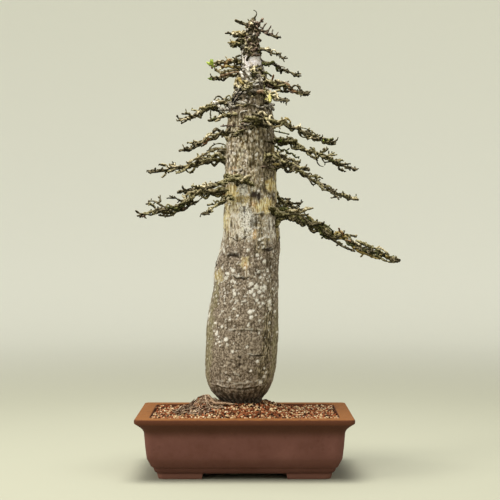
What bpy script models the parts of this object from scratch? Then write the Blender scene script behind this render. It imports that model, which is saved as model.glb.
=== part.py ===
"""Potted elephant tree: a swollen, slightly leaning trunk with bare, knotted limbs, in an oblong clay tray.

Metres, +Z up, the tray's long side along X and its front towards -Y. The model is worked out round the
tray's centre and moved at the end, so that the origin lies under the middle of the whole plant, on the
level that the tray's feet stand on.
"""

import math
import random
from collections import namedtuple

import bmesh
import bpy
import numpy as np
from mathutils import Vector
from mathutils.bvhtree import BVHTree

MM = 0.001
UP = Vector((0, 0, 1))
GAP = 0.3 * MM

# The tray's centre, seen from the middle of the plant's bounding box
TRAY_CENTRE = Vector((-47, -32, 0)) * MM

# Tray
TRAY_WIDTH = 433 * MM
TRAY_DEPTH = 300 * MM
FLOOR_UNDERSIDE = 12 * MM
FLOOR_TOP = 22 * MM
FOOT_GAP_FRONT = 166 * MM
FOOT_GAP_SIDE = 96 * MM
FOOT_GAP_FLARE = 3 * MM
DRAIN_RADIUS = 13 * MM
DRAIN_SPACING = 150 * MM
CORNER_STEPS = 4

# Inset from the rim's outline, height and corner radius, in mm, from the foot round the rim to the floor
TRAY_SECTION = (
    (66, 12, 8),
    (66, 1, 8),
    (65, 0, 8),
    (45.5, 0, 13),
    (44.5, 1, 14),
    (42, 12, 14),
    (38.4, 14, 14),
    (35.4, 20, 15),
    (36, 21.6, 15),
    (31, 25.5, 16),
    (22.8, 42, 18),
    (20.1, 64, 18),
    (17.7, 95.5, 17),
    (14.5, 101.5, 16),
    (10.8, 105.5, 15),
    (4, 111.5, 12),
    (0.8, 114, 11),
    (0, 116, 10),
    (0, 121.4, 10),
    (1.8, 123.3, 9),
    (26.8, 123.3, 18),
    (28.4, 121.8, 19),
    (30, 95, 20),
    (33, 60, 20),
    (38, 40, 20),
    (47, 27, 20),
    (57, 22, 18),
)
WALL_FROM = 21  # the section's first row on the inside wall

# Soil
SOIL_AT_WALL = 118 * MM
SOIL_CROWN = 139 * MM
CROWN_FLAT = 47 * MM
CROWN_SLOPE = 74 * MM
LITTER_CENTRE = (-82 * MM, -14 * MM)
LITTER_REACH = (56 * MM, 42 * MM)
LITTER_HEIGHT = 34 * MM
HUMP_HEIGHT = 2 * MM
HUMP_LENGTHS = (44 * MM, 40 * MM)  # from one hump to the next but one, along X and Y
HUMPS_FROM = 15 * MM  # how far outside the flat under the trunk the humps are in full
SOIL_GRID = (26, 17)  # faces of the uneven top along the tray's width and its depth

# Trunk: height above the soil, radius and sideways lean, in mm
TRUNK_BEHIND_CENTRE = 15 * MM
TRUNK_SECTION = (
    (0, 40, -6),
    (9, 46.5, -10),
    (21, 57, -11),
    (46, 67, -11),
    (95, 72.3, -8),
    (170, 71.3, -3),
    (244, 65, 3.5),
    (281, 63.5, 5),
    (331, 58.5, 13),
    (393, 53.7, 11.5),
    (505, 49.6, 10.7),
    (591, 44.4, 12),
    (616, 40, 12),
    (641, 33, 14),
    (690, 21.7, 13.5),
    (740, 14, 13.8),
    (765, 10, 14.8),
    (786, 5.5, 15.9),
)
TRUNK_SIDES = 24
TRUNK_RING_STEP = 40 * MM
FOOT_PLEATS = 12
FOOT_PLEAT_DEPTH = 0.035
FOOT_PLEAT_HEIGHT = 30 * MM

# Limbs, in mm and degrees. Azimuth 0 is +X and -90 the front; turn is how far the limb swings round by its
# tip; root is its radius at the trunk; spread is its longest twig; bough is the share of its length that is
# one bare limb, and 0 where the twigs start at the trunk.
Limb = namedtuple("Limb", "name height azimuth turn reach drop root spread bough")
LIMBS = tuple(
    Limb(*row)
    for row in (
        ("low_right", 387, -12, 0, 255, 92, 13, 50, 0.34),
        ("low_back", 416, 102, 0, 150, 55, 8, 44, 0.34),
        ("low_left_front", 420, 226, 0, 88, 33, 5.5, 26, 0),
        ("low_right_back", 428, 50, 0, 130, 30, 6, 36, 0.34),
        ("low_left", 438, 190, 0, 182, 54, 8.5, 52, 0.34),
        ("front_left", 456, 262, -57, 110, 24, 9, 32, 0.34),
        ("mid_back", 474, 80, 0, 138, 46, 7.5, 42, 0.34),
        ("mid_right", 490, -8, 0, 173, 73, 8, 38, 0.34),
        ("mid_left", 500, 174, 0, 163, 24, 8, 42, 0.34),
        ("front_right", 507, -50, 0, 128, 36, 6.5, 28, 0.34),
        ("mid_left_back", 519, 136, 0, 112, 16, 5.5, 34, 0),
        ("mid_right_back", 521, 52, 0, 128, 18, 5.5, 32, 0),
        ("upper_back", 535, 98, 0, 120, 38, 6.5, 34, 0.34),
        ("upper_mid_right", 542, 12, 0, 182, 59, 8, 38, 0.34),
        ("upper_mid_left", 552, 196, 0, 104, 37, 7, 32, 0.34),
        ("high_front", 556, 250, 0, 50, 14, 4.5, 22, 0),
        ("high_right", 581, -82, 72, 131, 50, 9.5, 34, 0.34),
        ("high_back", 583, 82, 0, 105, 34, 6.5, 32, 0.34),
        ("high_left_front", 591, 228, 0, 82, 17, 5.5, 24, 0),
        ("high_left", 620, 184, 0, 113, 40, 7.5, 36, 0.34),
        ("shoulder_back", 633, 108, 0, 88, 26, 6, 28, 0.34),
        ("shoulder_front_right", 637, -50, 0, 78, 24, 5.5, 26, 0),
        ("shoulder_front", 650, 262, 0, 52, 14, 5, 22, 0),
        ("shoulder_right", 659, -12, 0, 93, 26, 8, 30, 0.34),
        ("neck_left_back", 676, 170, 0, 64, 7, 5.5, 24, 0),
        ("neck_front", 682, 276, 0, 40, 10, 4, 16, 0),
        ("neck_right_back", 686, 66, 0, 58, 14, 4.5, 20, 0),
        ("neck_right", 703, 8, 0, 85, 28, 5.5, 22, 0.34),
        ("neck_left", 705, 194, 0, 70, 13, 6, 24, 0),
        ("neck_back", 713, 118, 0, 48, 10, 4, 17, 0),
        ("crown_front", 724, 256, 0, 34, 7, 3.8, 14, 0),
        ("neck_front_right", 728, -22, 0, 64, 22, 4.5, 17, 0),
        ("crest_left_low", 735, 202, 0, 34, -1, 4.5, 15, 0),
        ("crest_back", 743, 84, 0, 36, 6, 3.5, 13, 0),
        ("crest_left", 757, 176, 0, 44, -5, 4, 15, 0),
        ("crest_right", 769, -8, 0, 51, 18, 4, 17, 0),
        ("tip_left", 775, 190, 0, 28, -11, 3.2, 9, 0),
    )
)
BEND_STEP = 12.5 * MM  # from one knuckle of a limb to the next
BEND_SIZE = 4.2 * MM
LIMB_TIP_RADIUS = 1.9 * MM
COLLAR_REACH = 9 * MM
RAY_START = 60 * MM  # how far outside the trunk a limb's seat is looked for from
SHORTEST_TWIG = 7 * MM
TRUNK_CLEARANCE = 5 * MM
TWIG_STEP = 12.5 * MM
TWIG_RADIUS = 1.6 * MM
TWIG_TIP_RADIUS = 0.8 * MM
SPUR_LENGTH = 9 * MM
SPUR_SHARE = 0.6  # of the knuckles have one
SPACE_MARGIN = 3.8 * MM  # how much nearer a twig keeps to its own limb than to any other
SIDES = {"bough": 8, "stem": 4, "twig": 3}
SEED = 410

# The leader's curl above the trunk's cut tip
LEADER_HEIGHT = 23 * MM
LEADER_SWAY = 7 * MM
LEADER_RADIUS = 3.2 * MM
LEADER_TWIG = 10 * MM


# Scene and materials


def clear_scene():
    for obj in list(bpy.data.objects):
        bpy.data.objects.remove(obj)


def collection(name):
    made = bpy.data.collections.new(name)
    bpy.context.scene.collection.children.link(made)
    return made


def material(name, colour, roughness):
    made = bpy.data.materials.new(name)
    made.use_nodes = True
    shader = made.node_tree.nodes["Principled BSDF"]
    shader.inputs["Base Color"].default_value = (*colour, 1)
    shader.inputs["Roughness"].default_value = roughness
    shader.inputs["Metallic"].default_value = 0
    made.diffuse_color = (*colour, 1)
    return made


def add_object(name, mesh, into, finish):
    obj = bpy.data.objects.new(name, mesh)
    into.objects.link(obj)
    if finish:
        mesh.materials.clear()
        mesh.materials.append(finish)
    return obj


def loft(name, rings, into, finish):
    """A closed skin over rings that have the same number of points, with a flat cap on each end."""
    skin = bmesh.new()
    loops = [[skin.verts.new(point) for point in ring] for ring in rings]
    count = len(loops[0])
    for lower, upper in zip(loops, loops[1:]):
        for i in range(count):
            j = (i + 1) % count
            skin.faces.new((lower[i], lower[j], upper[j], upper[i]))
    skin.faces.new(loops[0])
    skin.faces.new(loops[-1])
    bmesh.ops.recalc_face_normals(skin, faces=skin.faces)
    mesh = bpy.data.meshes.new(name)
    skin.to_mesh(mesh)
    skin.free()
    mesh.shade_smooth()
    mesh.set_sharp_from_angle(angle=math.radians(35))
    return add_object(name, mesh, into, finish)


# Tray


def tray_ring(inset, height, corner):
    """One level of the tray: its outline pulled in by inset, with round corners."""
    half = Vector((TRAY_WIDTH / 2 - inset, TRAY_DEPTH / 2 - inset, 0))
    ring = []
    for turn, (sx, sy) in enumerate(((1, 1), (-1, 1), (-1, -1), (1, -1))):
        centre = Vector((sx * (half.x - corner), sy * (half.y - corner), height))
        for step in range(CORNER_STEPS + 1):
            angle = math.pi / 2 * (turn + step / CORNER_STEPS)
            ring.append(centre + corner * Vector((math.cos(angle), math.sin(angle), 0)))
    return ring


def cut(obj, cutter):
    cutter.hide_render = True
    cutter.display_type = "WIRE"
    boolean = obj.modifiers.new("cut_" + cutter.name, "BOOLEAN")
    boolean.operation = "DIFFERENCE"
    boolean.solver = "EXACT"
    boolean.object = cutter


def foot_gap_cutter(name, width, along_x, into):
    """A long wedge-sided bar that parts the foot ring in the middle of two facing sides."""
    reach = TRAY_WIDTH + TRAY_DEPTH
    low, high = -5 * MM, FLOOR_UNDERSIDE
    rings = []
    for end in (-reach / 2, reach / 2):
        section = []
        for side, level in ((-1, low), (1, low), (1, high), (-1, high)):
            share = (high - level) / (high - low)
            half = width / 2 + FOOT_GAP_FLARE * share
            across = side * half
            section.append(Vector((end, across, level) if along_x else (across, end, level)))
        rings.append(section)
    return loft(name, rings, into, None)


def drain_cutter(name, x, into):
    drill = bmesh.new()
    bmesh.ops.create_cone(
        drill, cap_ends=True, segments=20, radius1=DRAIN_RADIUS, radius2=DRAIN_RADIUS, depth=4 * FLOOR_TOP
    )
    mesh = bpy.data.meshes.new(name)
    drill.to_mesh(mesh)
    drill.free()
    cutter = add_object(name, mesh, into, None)
    cutter.location = (x, 0, FLOOR_TOP)
    return cutter


def make_tray(into, cutters, clay):
    rings = [tray_ring(inset * MM, height * MM, corner * MM) for inset, height, corner in TRAY_SECTION]
    tray = loft("pot", rings, into, clay)
    cut(tray, foot_gap_cutter("foot_gap_front", FOOT_GAP_FRONT, False, cutters))
    cut(tray, foot_gap_cutter("foot_gap_side", FOOT_GAP_SIDE, True, cutters))
    for number, side in enumerate((-1, 1), 1):
        cut(tray, drain_cutter(f"drain_{number}", side * DRAIN_SPACING / 2, cutters))
    return tray


# Soil


def ease(share):
    share = min(1.0, max(0.0, share))
    return share * share * (3 - 2 * share)


def humps(x, y):
    """Low humps about 30 mm apart, as coarse grit lies."""
    along, across = 2 * math.pi * x / HUMP_LENGTHS[0], 2 * math.pi * y / HUMP_LENGTHS[1]
    bent = math.sin(along + 1.3 * math.sin(0.6 * across)) * math.sin(across + 1.1 * math.sin(0.7 * along))
    return HUMP_HEIGHT * bent


def soil_height(x, y):
    """The soil's surface: even at the wall, with a rise under the trunk and the litter's low heap."""
    foot = Vector((TRUNK_SECTION[0][2] * MM, TRUNK_BEHIND_CENTRE))
    away = (Vector((x, y)) - foot).length
    rise = (SOIL_CROWN - SOIL_AT_WALL) * (1 - ease((away - CROWN_FLAT) / CROWN_SLOPE))
    out = math.hypot((x - LITTER_CENTRE[0]) / LITTER_REACH[0], (y - LITTER_CENTRE[1]) / LITTER_REACH[1])
    lift = max(rise, LITTER_HEIGHT * (1 - ease(out)))
    return SOIL_AT_WALL + lift + humps(x, y) * ease((away - CROWN_FLAT) / HUMPS_FROM)


def above_soil_cutter(name, top, into):
    """Everything over the soil: a block whose underside is the soil's uneven surface."""
    block = bmesh.new()
    bmesh.ops.create_grid(block, x_segments=SOIL_GRID[0], y_segments=SOIL_GRID[1], size=0.5)
    for vert in block.verts:
        x, y = vert.co.x * TRAY_WIDTH, vert.co.y * TRAY_DEPTH
        vert.co = Vector((x, y, soil_height(x, y)))
    raised = bmesh.ops.extrude_face_region(block, geom=block.faces)
    for part in raised["geom"]:
        if isinstance(part, bmesh.types.BMVert):
            part.co.z = top
    bmesh.ops.recalc_face_normals(block, faces=block.faces)
    mesh = bpy.data.meshes.new(name)
    block.to_mesh(mesh)
    block.free()
    return add_object(name, mesh, into, None)


def make_soil(into, cutters, grit):
    wall = [row for row in TRAY_SECTION[WALL_FROM:] if row[1] * MM < SOIL_AT_WALL]
    rings = []
    for inset, height, corner in reversed(wall):
        rings.append(tray_ring(inset * MM + 2 * GAP, height * MM + GAP, corner * MM))
    top = SOIL_AT_WALL + 2 * LITTER_HEIGHT
    rings.append(tray_ring(wall[0][0] * MM + 2 * GAP, top, wall[0][2] * MM))
    soil = loft("soil", rings, into, grit)
    cut(soil, above_soil_cutter("above_soil", top + LITTER_HEIGHT, cutters))
    return soil


# Trunk


def trunk_at(height):
    """The trunk's radius and the place of its axis at a height above the soil, on smooth curves."""
    rows = TRUNK_SECTION
    level = min(max(height / MM, rows[0][0]), rows[-1][0])
    i = next(n for n in range(len(rows) - 1) if level <= rows[n + 1][0])
    low, high = rows[i], rows[i + 1]
    span = high[0] - low[0]
    share = (level - low[0]) / span
    values = []
    for column in (1, 2):
        slopes = []
        for n in (i, i + 1):
            before, after = rows[max(n - 1, 0)], rows[min(n + 1, len(rows) - 1)]
            slopes.append((after[column] - before[column]) / (after[0] - before[0]))
        hermite = (
            (2 * share**3 - 3 * share**2 + 1) * low[column]
            + (share**3 - 2 * share**2 + share) * span * slopes[0]
            + (3 * share**2 - 2 * share**3) * high[column]
            + (share**3 - share**2) * span * slopes[1]
        )
        values.append(hermite * MM)
    radius, lean = values
    return radius, Vector((lean, TRUNK_BEHIND_CENTRE, SOIL_CROWN + GAP + height))


def trunk_girth(angle, height):
    """How far the trunk's outline is from a circle: broad swells, and pleats drawn in round its foot."""
    swell = 0.022 * math.cos(2 * angle + 0.6) + 0.014 * math.cos(3 * angle + height * 14)
    pleat = FOOT_PLEAT_DEPTH * math.cos(FOOT_PLEATS * angle) * (1 - ease(height / FOOT_PLEAT_HEIGHT))
    return 1 + swell * ease(height / 0.06) - abs(pleat)


def trunk_heights():
    heights = set()
    for low, high in zip(TRUNK_SECTION, TRUNK_SECTION[1:]):
        steps = max(1, round((high[0] - low[0]) * MM / TRUNK_RING_STEP))
        heights |= {(low[0] + (high[0] - low[0]) * step / steps) * MM for step in range(steps + 1)}
    return sorted(heights)


def make_trunk(into, bark):
    rings = []
    for height in trunk_heights():
        radius, axis = trunk_at(height)
        ring = []
        for side in range(TRUNK_SIDES):
            angle = 2 * math.pi * side / TRUNK_SIDES
            out = radius * trunk_girth(angle, height)
            ring.append(axis + out * Vector((math.cos(angle), math.sin(angle), 0)))
        rings.append(ring)
    return loft("trunk", rings, into, bark)


# Limbs


def guide(limb, share):
    """The limb's even line, at a share of its length: out from the trunk, up a little and then down."""
    height = limb.height * MM
    radius, axis = trunk_at(height)
    out = radius + limb.reach * MM * share
    angle = math.radians(limb.azimuth + limb.turn * share * (2 - share))
    lift = 0.025 * limb.reach * MM * math.sin(math.pi * min(1, 2.2 * share))
    sag = limb.drop * MM * (0.4 * share + 0.6 * ease(share))
    return axis + out * Vector((math.cos(angle), math.sin(angle), 0)) + (lift - sag) * UP


def limb_bends(limb, rng):
    """The limb's knuckles, from trunk to tip: the even line with a seeded zigzag laid on it."""
    length = sum((guide(limb, n / 20) - guide(limb, (n + 1) / 20)).length for n in range(20))
    count = max(4, round(length / BEND_STEP))
    bends = [guide(limb, 0)]
    for number in range(1, count + 1):
        share = number / count
        point = guide(limb, share)
        ahead = (guide(limb, min(1, share + 0.02)) - guide(limb, share - 0.02)).normalized()
        side = UP.cross(ahead).normalized()
        size = BEND_SIZE * rng.uniform(0.35, 1) * math.sin(math.pi * min(share, 0.85)) ** 0.5
        turn = math.pi * number + rng.uniform(-1.1, 1.1)
        if number < count:
            point = point + size * (math.cos(turn) * side + math.sin(turn) * side.cross(ahead))
        bends.append(point)
    return bends


def limb_radius(limb, share, distance):
    """The limb's thickness at a share of its length, with the collar it swells into at the trunk."""
    slender = LIMB_TIP_RADIUS + (0.72 * limb.root * MM - LIMB_TIP_RADIUS) * (1 - share) ** 0.8
    return slender + 0.28 * limb.root * MM * math.exp(-distance / COLLAR_REACH)


def profile(sides, into):
    """A regular polygon that tubes are drawn along their curves with."""
    name = f"profile_{sides}"
    curve = bpy.data.curves.new(name, "CURVE")
    curve.dimensions = "2D"
    curve.fill_mode = "NONE"
    spline = curve.splines.new("POLY")
    spline.points.add(sides - 1)
    for n, point in enumerate(spline.points):
        angle = 2 * math.pi * n / sides
        point.co = (math.cos(angle), math.sin(angle), 0, 1)
    spline.use_cyclic_u = True
    obj = bpy.data.objects.new(name, curve)
    obj.hide_render = True
    into.objects.link(obj)
    return obj


def tube(name, points, radii, shape, into, finish):
    """A tapering tube along points, made as a bevelled curve and turned into a mesh with its caps welded."""
    curve = bpy.data.curves.new(name, "CURVE")
    curve.dimensions = "3D"
    curve.bevel_mode = "OBJECT"
    curve.bevel_object = shape
    curve.use_fill_caps = True
    spline = curve.splines.new("POLY")
    spline.points.add(len(points) - 1)
    for point, place, radius in zip(spline.points, points, radii):
        point.co = (*place, 1)
        point.radius = radius
    drawn = bpy.data.objects.new(name + "_line", curve)
    into.objects.link(drawn)
    evaluated = drawn.evaluated_get(bpy.context.evaluated_depsgraph_get())
    mesh = bpy.data.meshes.new_from_object(evaluated)
    mesh.name = name
    bpy.data.objects.remove(drawn)
    skin = bmesh.new()
    skin.from_mesh(mesh)
    bmesh.ops.remove_doubles(skin, verts=skin.verts, dist=0.01 * MM)
    bmesh.ops.recalc_face_normals(skin, faces=skin.faces)
    skin.to_mesh(mesh)
    skin.free()
    mesh.shade_smooth()
    return add_object(name, mesh, into, finish)


def stands_clear(centre, normal, radius, surface):
    """Whether a limb's whole end face, centred there and square to normal, is clear of the trunk's skin."""
    across = normal.orthogonal().normalized()
    for corner in range(SIDES["bough"]):
        angle = 2 * math.pi * corner / SIDES["bough"]
        point = centre + radius * (math.cos(angle) * across + math.sin(angle) * normal.cross(across))
        skin = surface.find_nearest(point)[0]
        if (point - skin).dot(normal) < GAP:
            return False
    return True


def seat_on_trunk(bends, radius, surface):
    """Moves a limb's first bend out from the trunk's skin until its end face just clears it."""
    start = bends[0]
    _, axis = trunk_at(start.z - SOIL_CROWN - GAP)
    outward = Vector((start.x - axis.x, start.y - axis.y, 0)).normalized()
    skin, normal, _, _ = surface.ray_cast(start + RAY_START * outward, -outward)
    seat = skin + GAP * normal
    while not stands_clear(seat, normal, radius, surface):
        seat += GAP / 4 * normal
    neck = seat + max(2.5 * MM, 0.6 * radius) * normal
    return [seat, neck] + [bend for bend in bends[1:] if (bend - seat).length > 1.6 * (neck - seat).length]


def in_between(points, values, step):
    """The points with more of them let in along each stretch, and their values with them."""
    fine = []
    for (a, b), (low, high) in zip(zip(points, points[1:]), zip(values, values[1:])):
        count = max(1, math.ceil((b - a).length / step))
        fine += [(*a.lerp(b, n / count), low + (high - low) * n / count) for n in range(count)]
    fine.append((*points[-1], values[-1]))
    return np.array(fine)


class Crown:
    """Every limb's line and thickness, so that a twig can be kept to its own limb's space."""

    def __init__(self):
        self.lines = {}

    def add(self, name, points, radii):
        self.lines[name] = in_between(points, radii, 3 * MM)

    def keeps_to_space(self, name, points):
        """True where a twig is all along nearer to its own stem than to other wood, and off the trunk."""
        for x, y, z, _ in in_between(points, [0] * len(points), 4 * MM):
            away = {
                other: (np.linalg.norm(line[:, :3] - (x, y, z), axis=1) - line[:, 3]).min()
                for other, line in self.lines.items()
            }
            own = away.pop(name)
            if min(away.values()) < max(own, 0) + SPACE_MARGIN:
                return False
            radius, axis = trunk_at(z - SOIL_CROWN - GAP)
            if math.hypot(x - axis.x, y - axis.y) < radius + TRUNK_CLEARANCE:
                return False
        return True


def twig_line(start, way, length, step, rng):
    """A twig's bends: steps that swing to either side in turn and tip slowly upwards."""
    points = [start]
    side = UP.cross(way).normalized()
    count = max(2, round(length / step))
    for number in range(count):
        swing = (0.45 if number % 2 else -0.45) * rng.uniform(0.5, 1.2)
        ahead = (way + swing * side + rng.uniform(-0.25, 0.35) * UP).normalized()
        points.append(points[-1] + ahead * length / count)
    return points


def spur_line(start, ahead, hand, radius, rng):
    """A stub that stands up or hangs at a knuckle, leaning towards the limb's tip."""
    way = (hand * UP + rng.uniform(0.1, 0.9) * ahead + rng.uniform(-0.6, 0.6) * UP.cross(ahead)).normalized()
    return [start, start + way * (radius + SPUR_LENGTH * rng.uniform(0.4, 1.1))]


def side_twigs(limb, bends, radii, first, crown, rng):
    """The twigs of a limb's mass: one or two at each knuckle, longest a third of the way along."""
    lines = []
    count = len(bends) - 1
    for number in range(first + 1, count):
        along = (number - first) / (count - first)
        fullness = math.sin(math.pi * (0.16 + 0.78 * along)) ** 0.8
        ahead = (bends[number + 1] - bends[number - 1]).normalized()
        side = UP.cross(ahead).normalized()
        spur = spur_line(bends[number], ahead, 1 if number % 3 else -1, radii[number], rng)
        if rng.random() < SPUR_SHARE and crown.keeps_to_space(limb.name, spur):
            lines.append(spur)
        for hand in (1, -1) if number % 4 == 0 else ((1,) if number % 2 else (-1,)):
            swing = math.radians(rng.uniform(35, 62))
            way = math.cos(swing) * ahead + hand * math.sin(swing) * side + rng.uniform(-0.5, 0.6) * UP
            length = limb.spread * MM * fullness * rng.uniform(0.6, 1.05)
            if length < SHORTEST_TWIG:
                continue
            line = twig_line(bends[number], way.normalized(), length, TWIG_STEP, rng)
            if not crown.keeps_to_space(limb.name, line):
                continue
            lines.append(line)
            if len(line) > 4:
                fork = line[2]
                onward = (line[3] - line[2]).normalized() + hand * 0.7 * ahead
                branch = twig_line(fork, onward.normalized(), 0.45 * length, TWIG_STEP, rng)
                if crown.keeps_to_space(limb.name, branch):
                    lines.append(branch)
    return lines


def taper(points, thick, thin):
    last = len(points) - 1
    return [thick + (thin - thick) * n / last for n in range(last + 1)]


def join_mass(stem, twigs_made):
    """One Boolean union of a stem and all its twigs, applied, with the twigs' objects removed."""
    if twigs_made.objects:
        union = stem.modifiers.new("union", "BOOLEAN")
        union.operation = "UNION"
        union.solver = "EXACT"
        union.operand_type = "COLLECTION"
        union.collection = twigs_made
        joined = bpy.data.meshes.new_from_object(stem.evaluated_get(bpy.context.evaluated_depsgraph_get()))
        stem.modifiers.clear()
        stem.data = joined
    for twig in list(twigs_made.objects):
        bpy.data.objects.remove(twig)


def make_mass(name, stem_points, stem_radii, lines, shapes, into, finish):
    twigs_made = collection(name + "_twigs")
    stem = tube(name, stem_points, stem_radii, shapes["stem"], into, finish)
    for number, line in enumerate(lines):
        radii = taper(line, TWIG_RADIUS, TWIG_TIP_RADIUS)
        tube(f"{name}_twig_{number}", line, radii, shapes["twig"], twigs_made, finish)
    join_mass(stem, twigs_made)
    bpy.data.collections.remove(twigs_made)
    return stem


def split_limb(limb, bends):
    """The knuckle where a bough ends and its mass of twigs begins."""
    return max(2, round(limb.bough * (len(bends) - 1))) if limb.bough else 0


def limb_route(number, limb, surface):
    """A limb's knuckles, its radius at each, and the number of the knuckle that its bough ends at."""
    bends = seat_on_trunk(limb_bends(limb, random.Random(SEED + number)), limb.root * MM, surface)
    travelled = [0]
    for a, b in zip(bends, bends[1:]):
        travelled.append(travelled[-1] + (b - a).length)
    radii = [limb_radius(limb, way / travelled[-1], way) for way in travelled]
    return bends, radii, split_limb(limb, bends)


def make_limbs(into, shapes, surface, bark, twig_bark):
    crown = Crown()
    routes = [limb_route(number, limb, surface) for number, limb in enumerate(LIMBS)]
    for limb, (bends, radii, first) in zip(LIMBS, routes):
        crown.add(limb.name, bends[first:], radii[first:])
        if first:
            crown.add(limb.name + "_bough", bends[: first + 1], radii[: first + 1])
    leader = leader_line()
    crown.add("leader", leader, taper(leader, LEADER_RADIUS, TWIG_TIP_RADIUS))
    for number, (limb, (bends, radii, first)) in enumerate(zip(LIMBS, routes)):
        stem, thickness = bends, radii
        if first:
            tube(limb.name + "_bough", bends[: first + 1], radii[: first + 1], shapes["bough"], into, bark)
            onward = (bends[first] - bends[first - 1]).normalized()
            joint = [bends[first] + GAP * onward, bends[first] + (GAP + radii[first]) * onward]
            stem, thickness = joint + bends[first + 1 :], [radii[first]] + radii[first:]
        lines = side_twigs(limb, bends, radii, first, crown, random.Random(SEED * 7 + number))
        make_mass(limb.name + "_twigs", stem, thickness, lines, shapes, into, twig_bark)
    make_leader(leader, crown, shapes, into, twig_bark)


def leader_line():
    """The curl that the trunk's tip ends in: up, out to the right and hooked back."""
    top = TRUNK_SECTION[-1][0] * MM
    _, axis = trunk_at(top)
    line = []
    for n in range(7):
        share = n / 6
        sway = LEADER_SWAY * math.sin(1.4 * math.pi * max(0, n - 1) / 5)
        line.append(axis + Vector((sway, 0.3 * sway, GAP + LEADER_HEIGHT * share)))
    return line


def make_leader(line, crown, shapes, into, finish):
    rng = random.Random(SEED * 11)
    radii = taper(line, LEADER_RADIUS, TWIG_TIP_RADIUS)
    lines = []
    for number, azimuth in enumerate((20, 150, 265)):
        turn = math.radians(azimuth)
        way = Vector((math.cos(turn), math.sin(turn), 0.8)).normalized()
        twig = twig_line(line[2 + number], way, LEADER_TWIG, LEADER_TWIG / 2, rng)
        if crown.keeps_to_space("leader", twig):
            lines.append(twig)
    make_mass("leader_twigs", line, radii, lines, shapes, into, finish)


# Placing


def move_over_origin():
    """Moves everything so that the middle of the whole plant's box, and not the tray's, is over the origin."""
    for obj in bpy.data.objects:
        obj.location += TRAY_CENTRE


def main():
    clear_scene()
    plant = collection("potted_elephant_tree")
    helpers = collection("cutters")
    clay = material("fired_clay", (0.13, 0.055, 0.036), 0.6)
    grit = material("grit", (0.27, 0.13, 0.065), 0.9)
    bark = material("bark", (0.2, 0.16, 0.11), 0.85)
    twig_bark = material("twig_bark", (0.13, 0.115, 0.07), 0.85)
    make_tray(plant, helpers, clay)
    make_soil(plant, helpers, grit)
    trunk = make_trunk(plant, bark)
    surface = BVHTree.FromObject(trunk, bpy.context.evaluated_depsgraph_get())
    shapes = {kind: profile(sides, helpers) for kind, sides in SIDES.items()}
    make_limbs(plant, shapes, surface, bark, twig_bark)
    move_over_origin()


main()
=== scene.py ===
# A potted elephant tree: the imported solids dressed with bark, limbs, twigs, grit and a fired clay tray
import math
import random
from collections import namedtuple
from itertools import combinations

import bpy
import numpy as np
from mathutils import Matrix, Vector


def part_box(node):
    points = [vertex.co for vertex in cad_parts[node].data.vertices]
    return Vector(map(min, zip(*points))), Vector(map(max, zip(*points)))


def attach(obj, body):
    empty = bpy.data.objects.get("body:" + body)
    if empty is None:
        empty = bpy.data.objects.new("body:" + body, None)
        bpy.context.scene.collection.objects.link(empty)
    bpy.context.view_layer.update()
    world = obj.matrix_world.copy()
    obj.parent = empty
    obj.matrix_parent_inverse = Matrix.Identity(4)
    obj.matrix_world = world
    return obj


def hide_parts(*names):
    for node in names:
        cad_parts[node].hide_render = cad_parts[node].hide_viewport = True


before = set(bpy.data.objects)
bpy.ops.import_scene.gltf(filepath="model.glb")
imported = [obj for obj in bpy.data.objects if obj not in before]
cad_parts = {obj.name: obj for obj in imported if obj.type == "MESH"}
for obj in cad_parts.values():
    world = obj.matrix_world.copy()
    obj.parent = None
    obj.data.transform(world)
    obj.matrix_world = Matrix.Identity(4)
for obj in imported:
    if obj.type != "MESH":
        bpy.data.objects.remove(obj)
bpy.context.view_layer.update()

mm = 0.001
up = np.array((0.0, 0.0, 1.0))
potLow, potHigh = (np.array(corner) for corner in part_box("pot"))
trayCentre = (potLow + potHigh) / 2 * (1, 1, 0)  # every shape below is worked out from here
limbNodes = sorted(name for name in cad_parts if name.endswith("_bough"))
massNodes = sorted(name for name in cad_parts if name.endswith("_twigs"))


# Numbers that look random but are the same each run

hashFactors = (73856093, 19349663, 83492791)  # one for each axis
seedFactor = 40503
stirFactors = (2246822519, 3266489917)


def ease(share):
    share = np.clip(share, 0, 1)
    return share * share * (3 - 2 * share)


def unit(vectors):
    return vectors / np.maximum(np.linalg.norm(vectors, axis=-1, keepdims=True), 1e-12)


def hashed(cells, seed):
    # a value from 0 to 1 for each whole-numbered cell
    stirred = (seed + 11) * seedFactor
    for axis, factor in enumerate(hashFactors):
        stirred = stirred ^ cells[..., axis] * factor
    for factor in stirFactors:
        stirred = ((stirred ^ (stirred >> 15)) * factor) & 0xFFFFFFFF
    return ((stirred ^ (stirred >> 16)) & 0xFFFFFF) / 0xFFFFFF


def softNoise(points, size, seed):
    # smooth, from -1 to 1, with features about one size across
    scaled = points / size
    low = np.floor(scaled).astype(np.int64)
    share = ease(scaled - low)
    total = np.zeros(points.shape[:-1])
    for step in np.ndindex(2, 2, 2):
        step = np.array(step)
        weight = np.prod(np.where(step, share, 1 - share), axis=-1)
        total += weight * hashed(low + step, seed)
    return total * 2 - 1


def roughNoise(points, size, seed, layers=3):
    total = np.zeros(points.shape[:-1])
    for layer in range(layers):
        total += softNoise(points, size / 2**layer, seed + 31 * layer) / 2**layer
    return total


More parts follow.
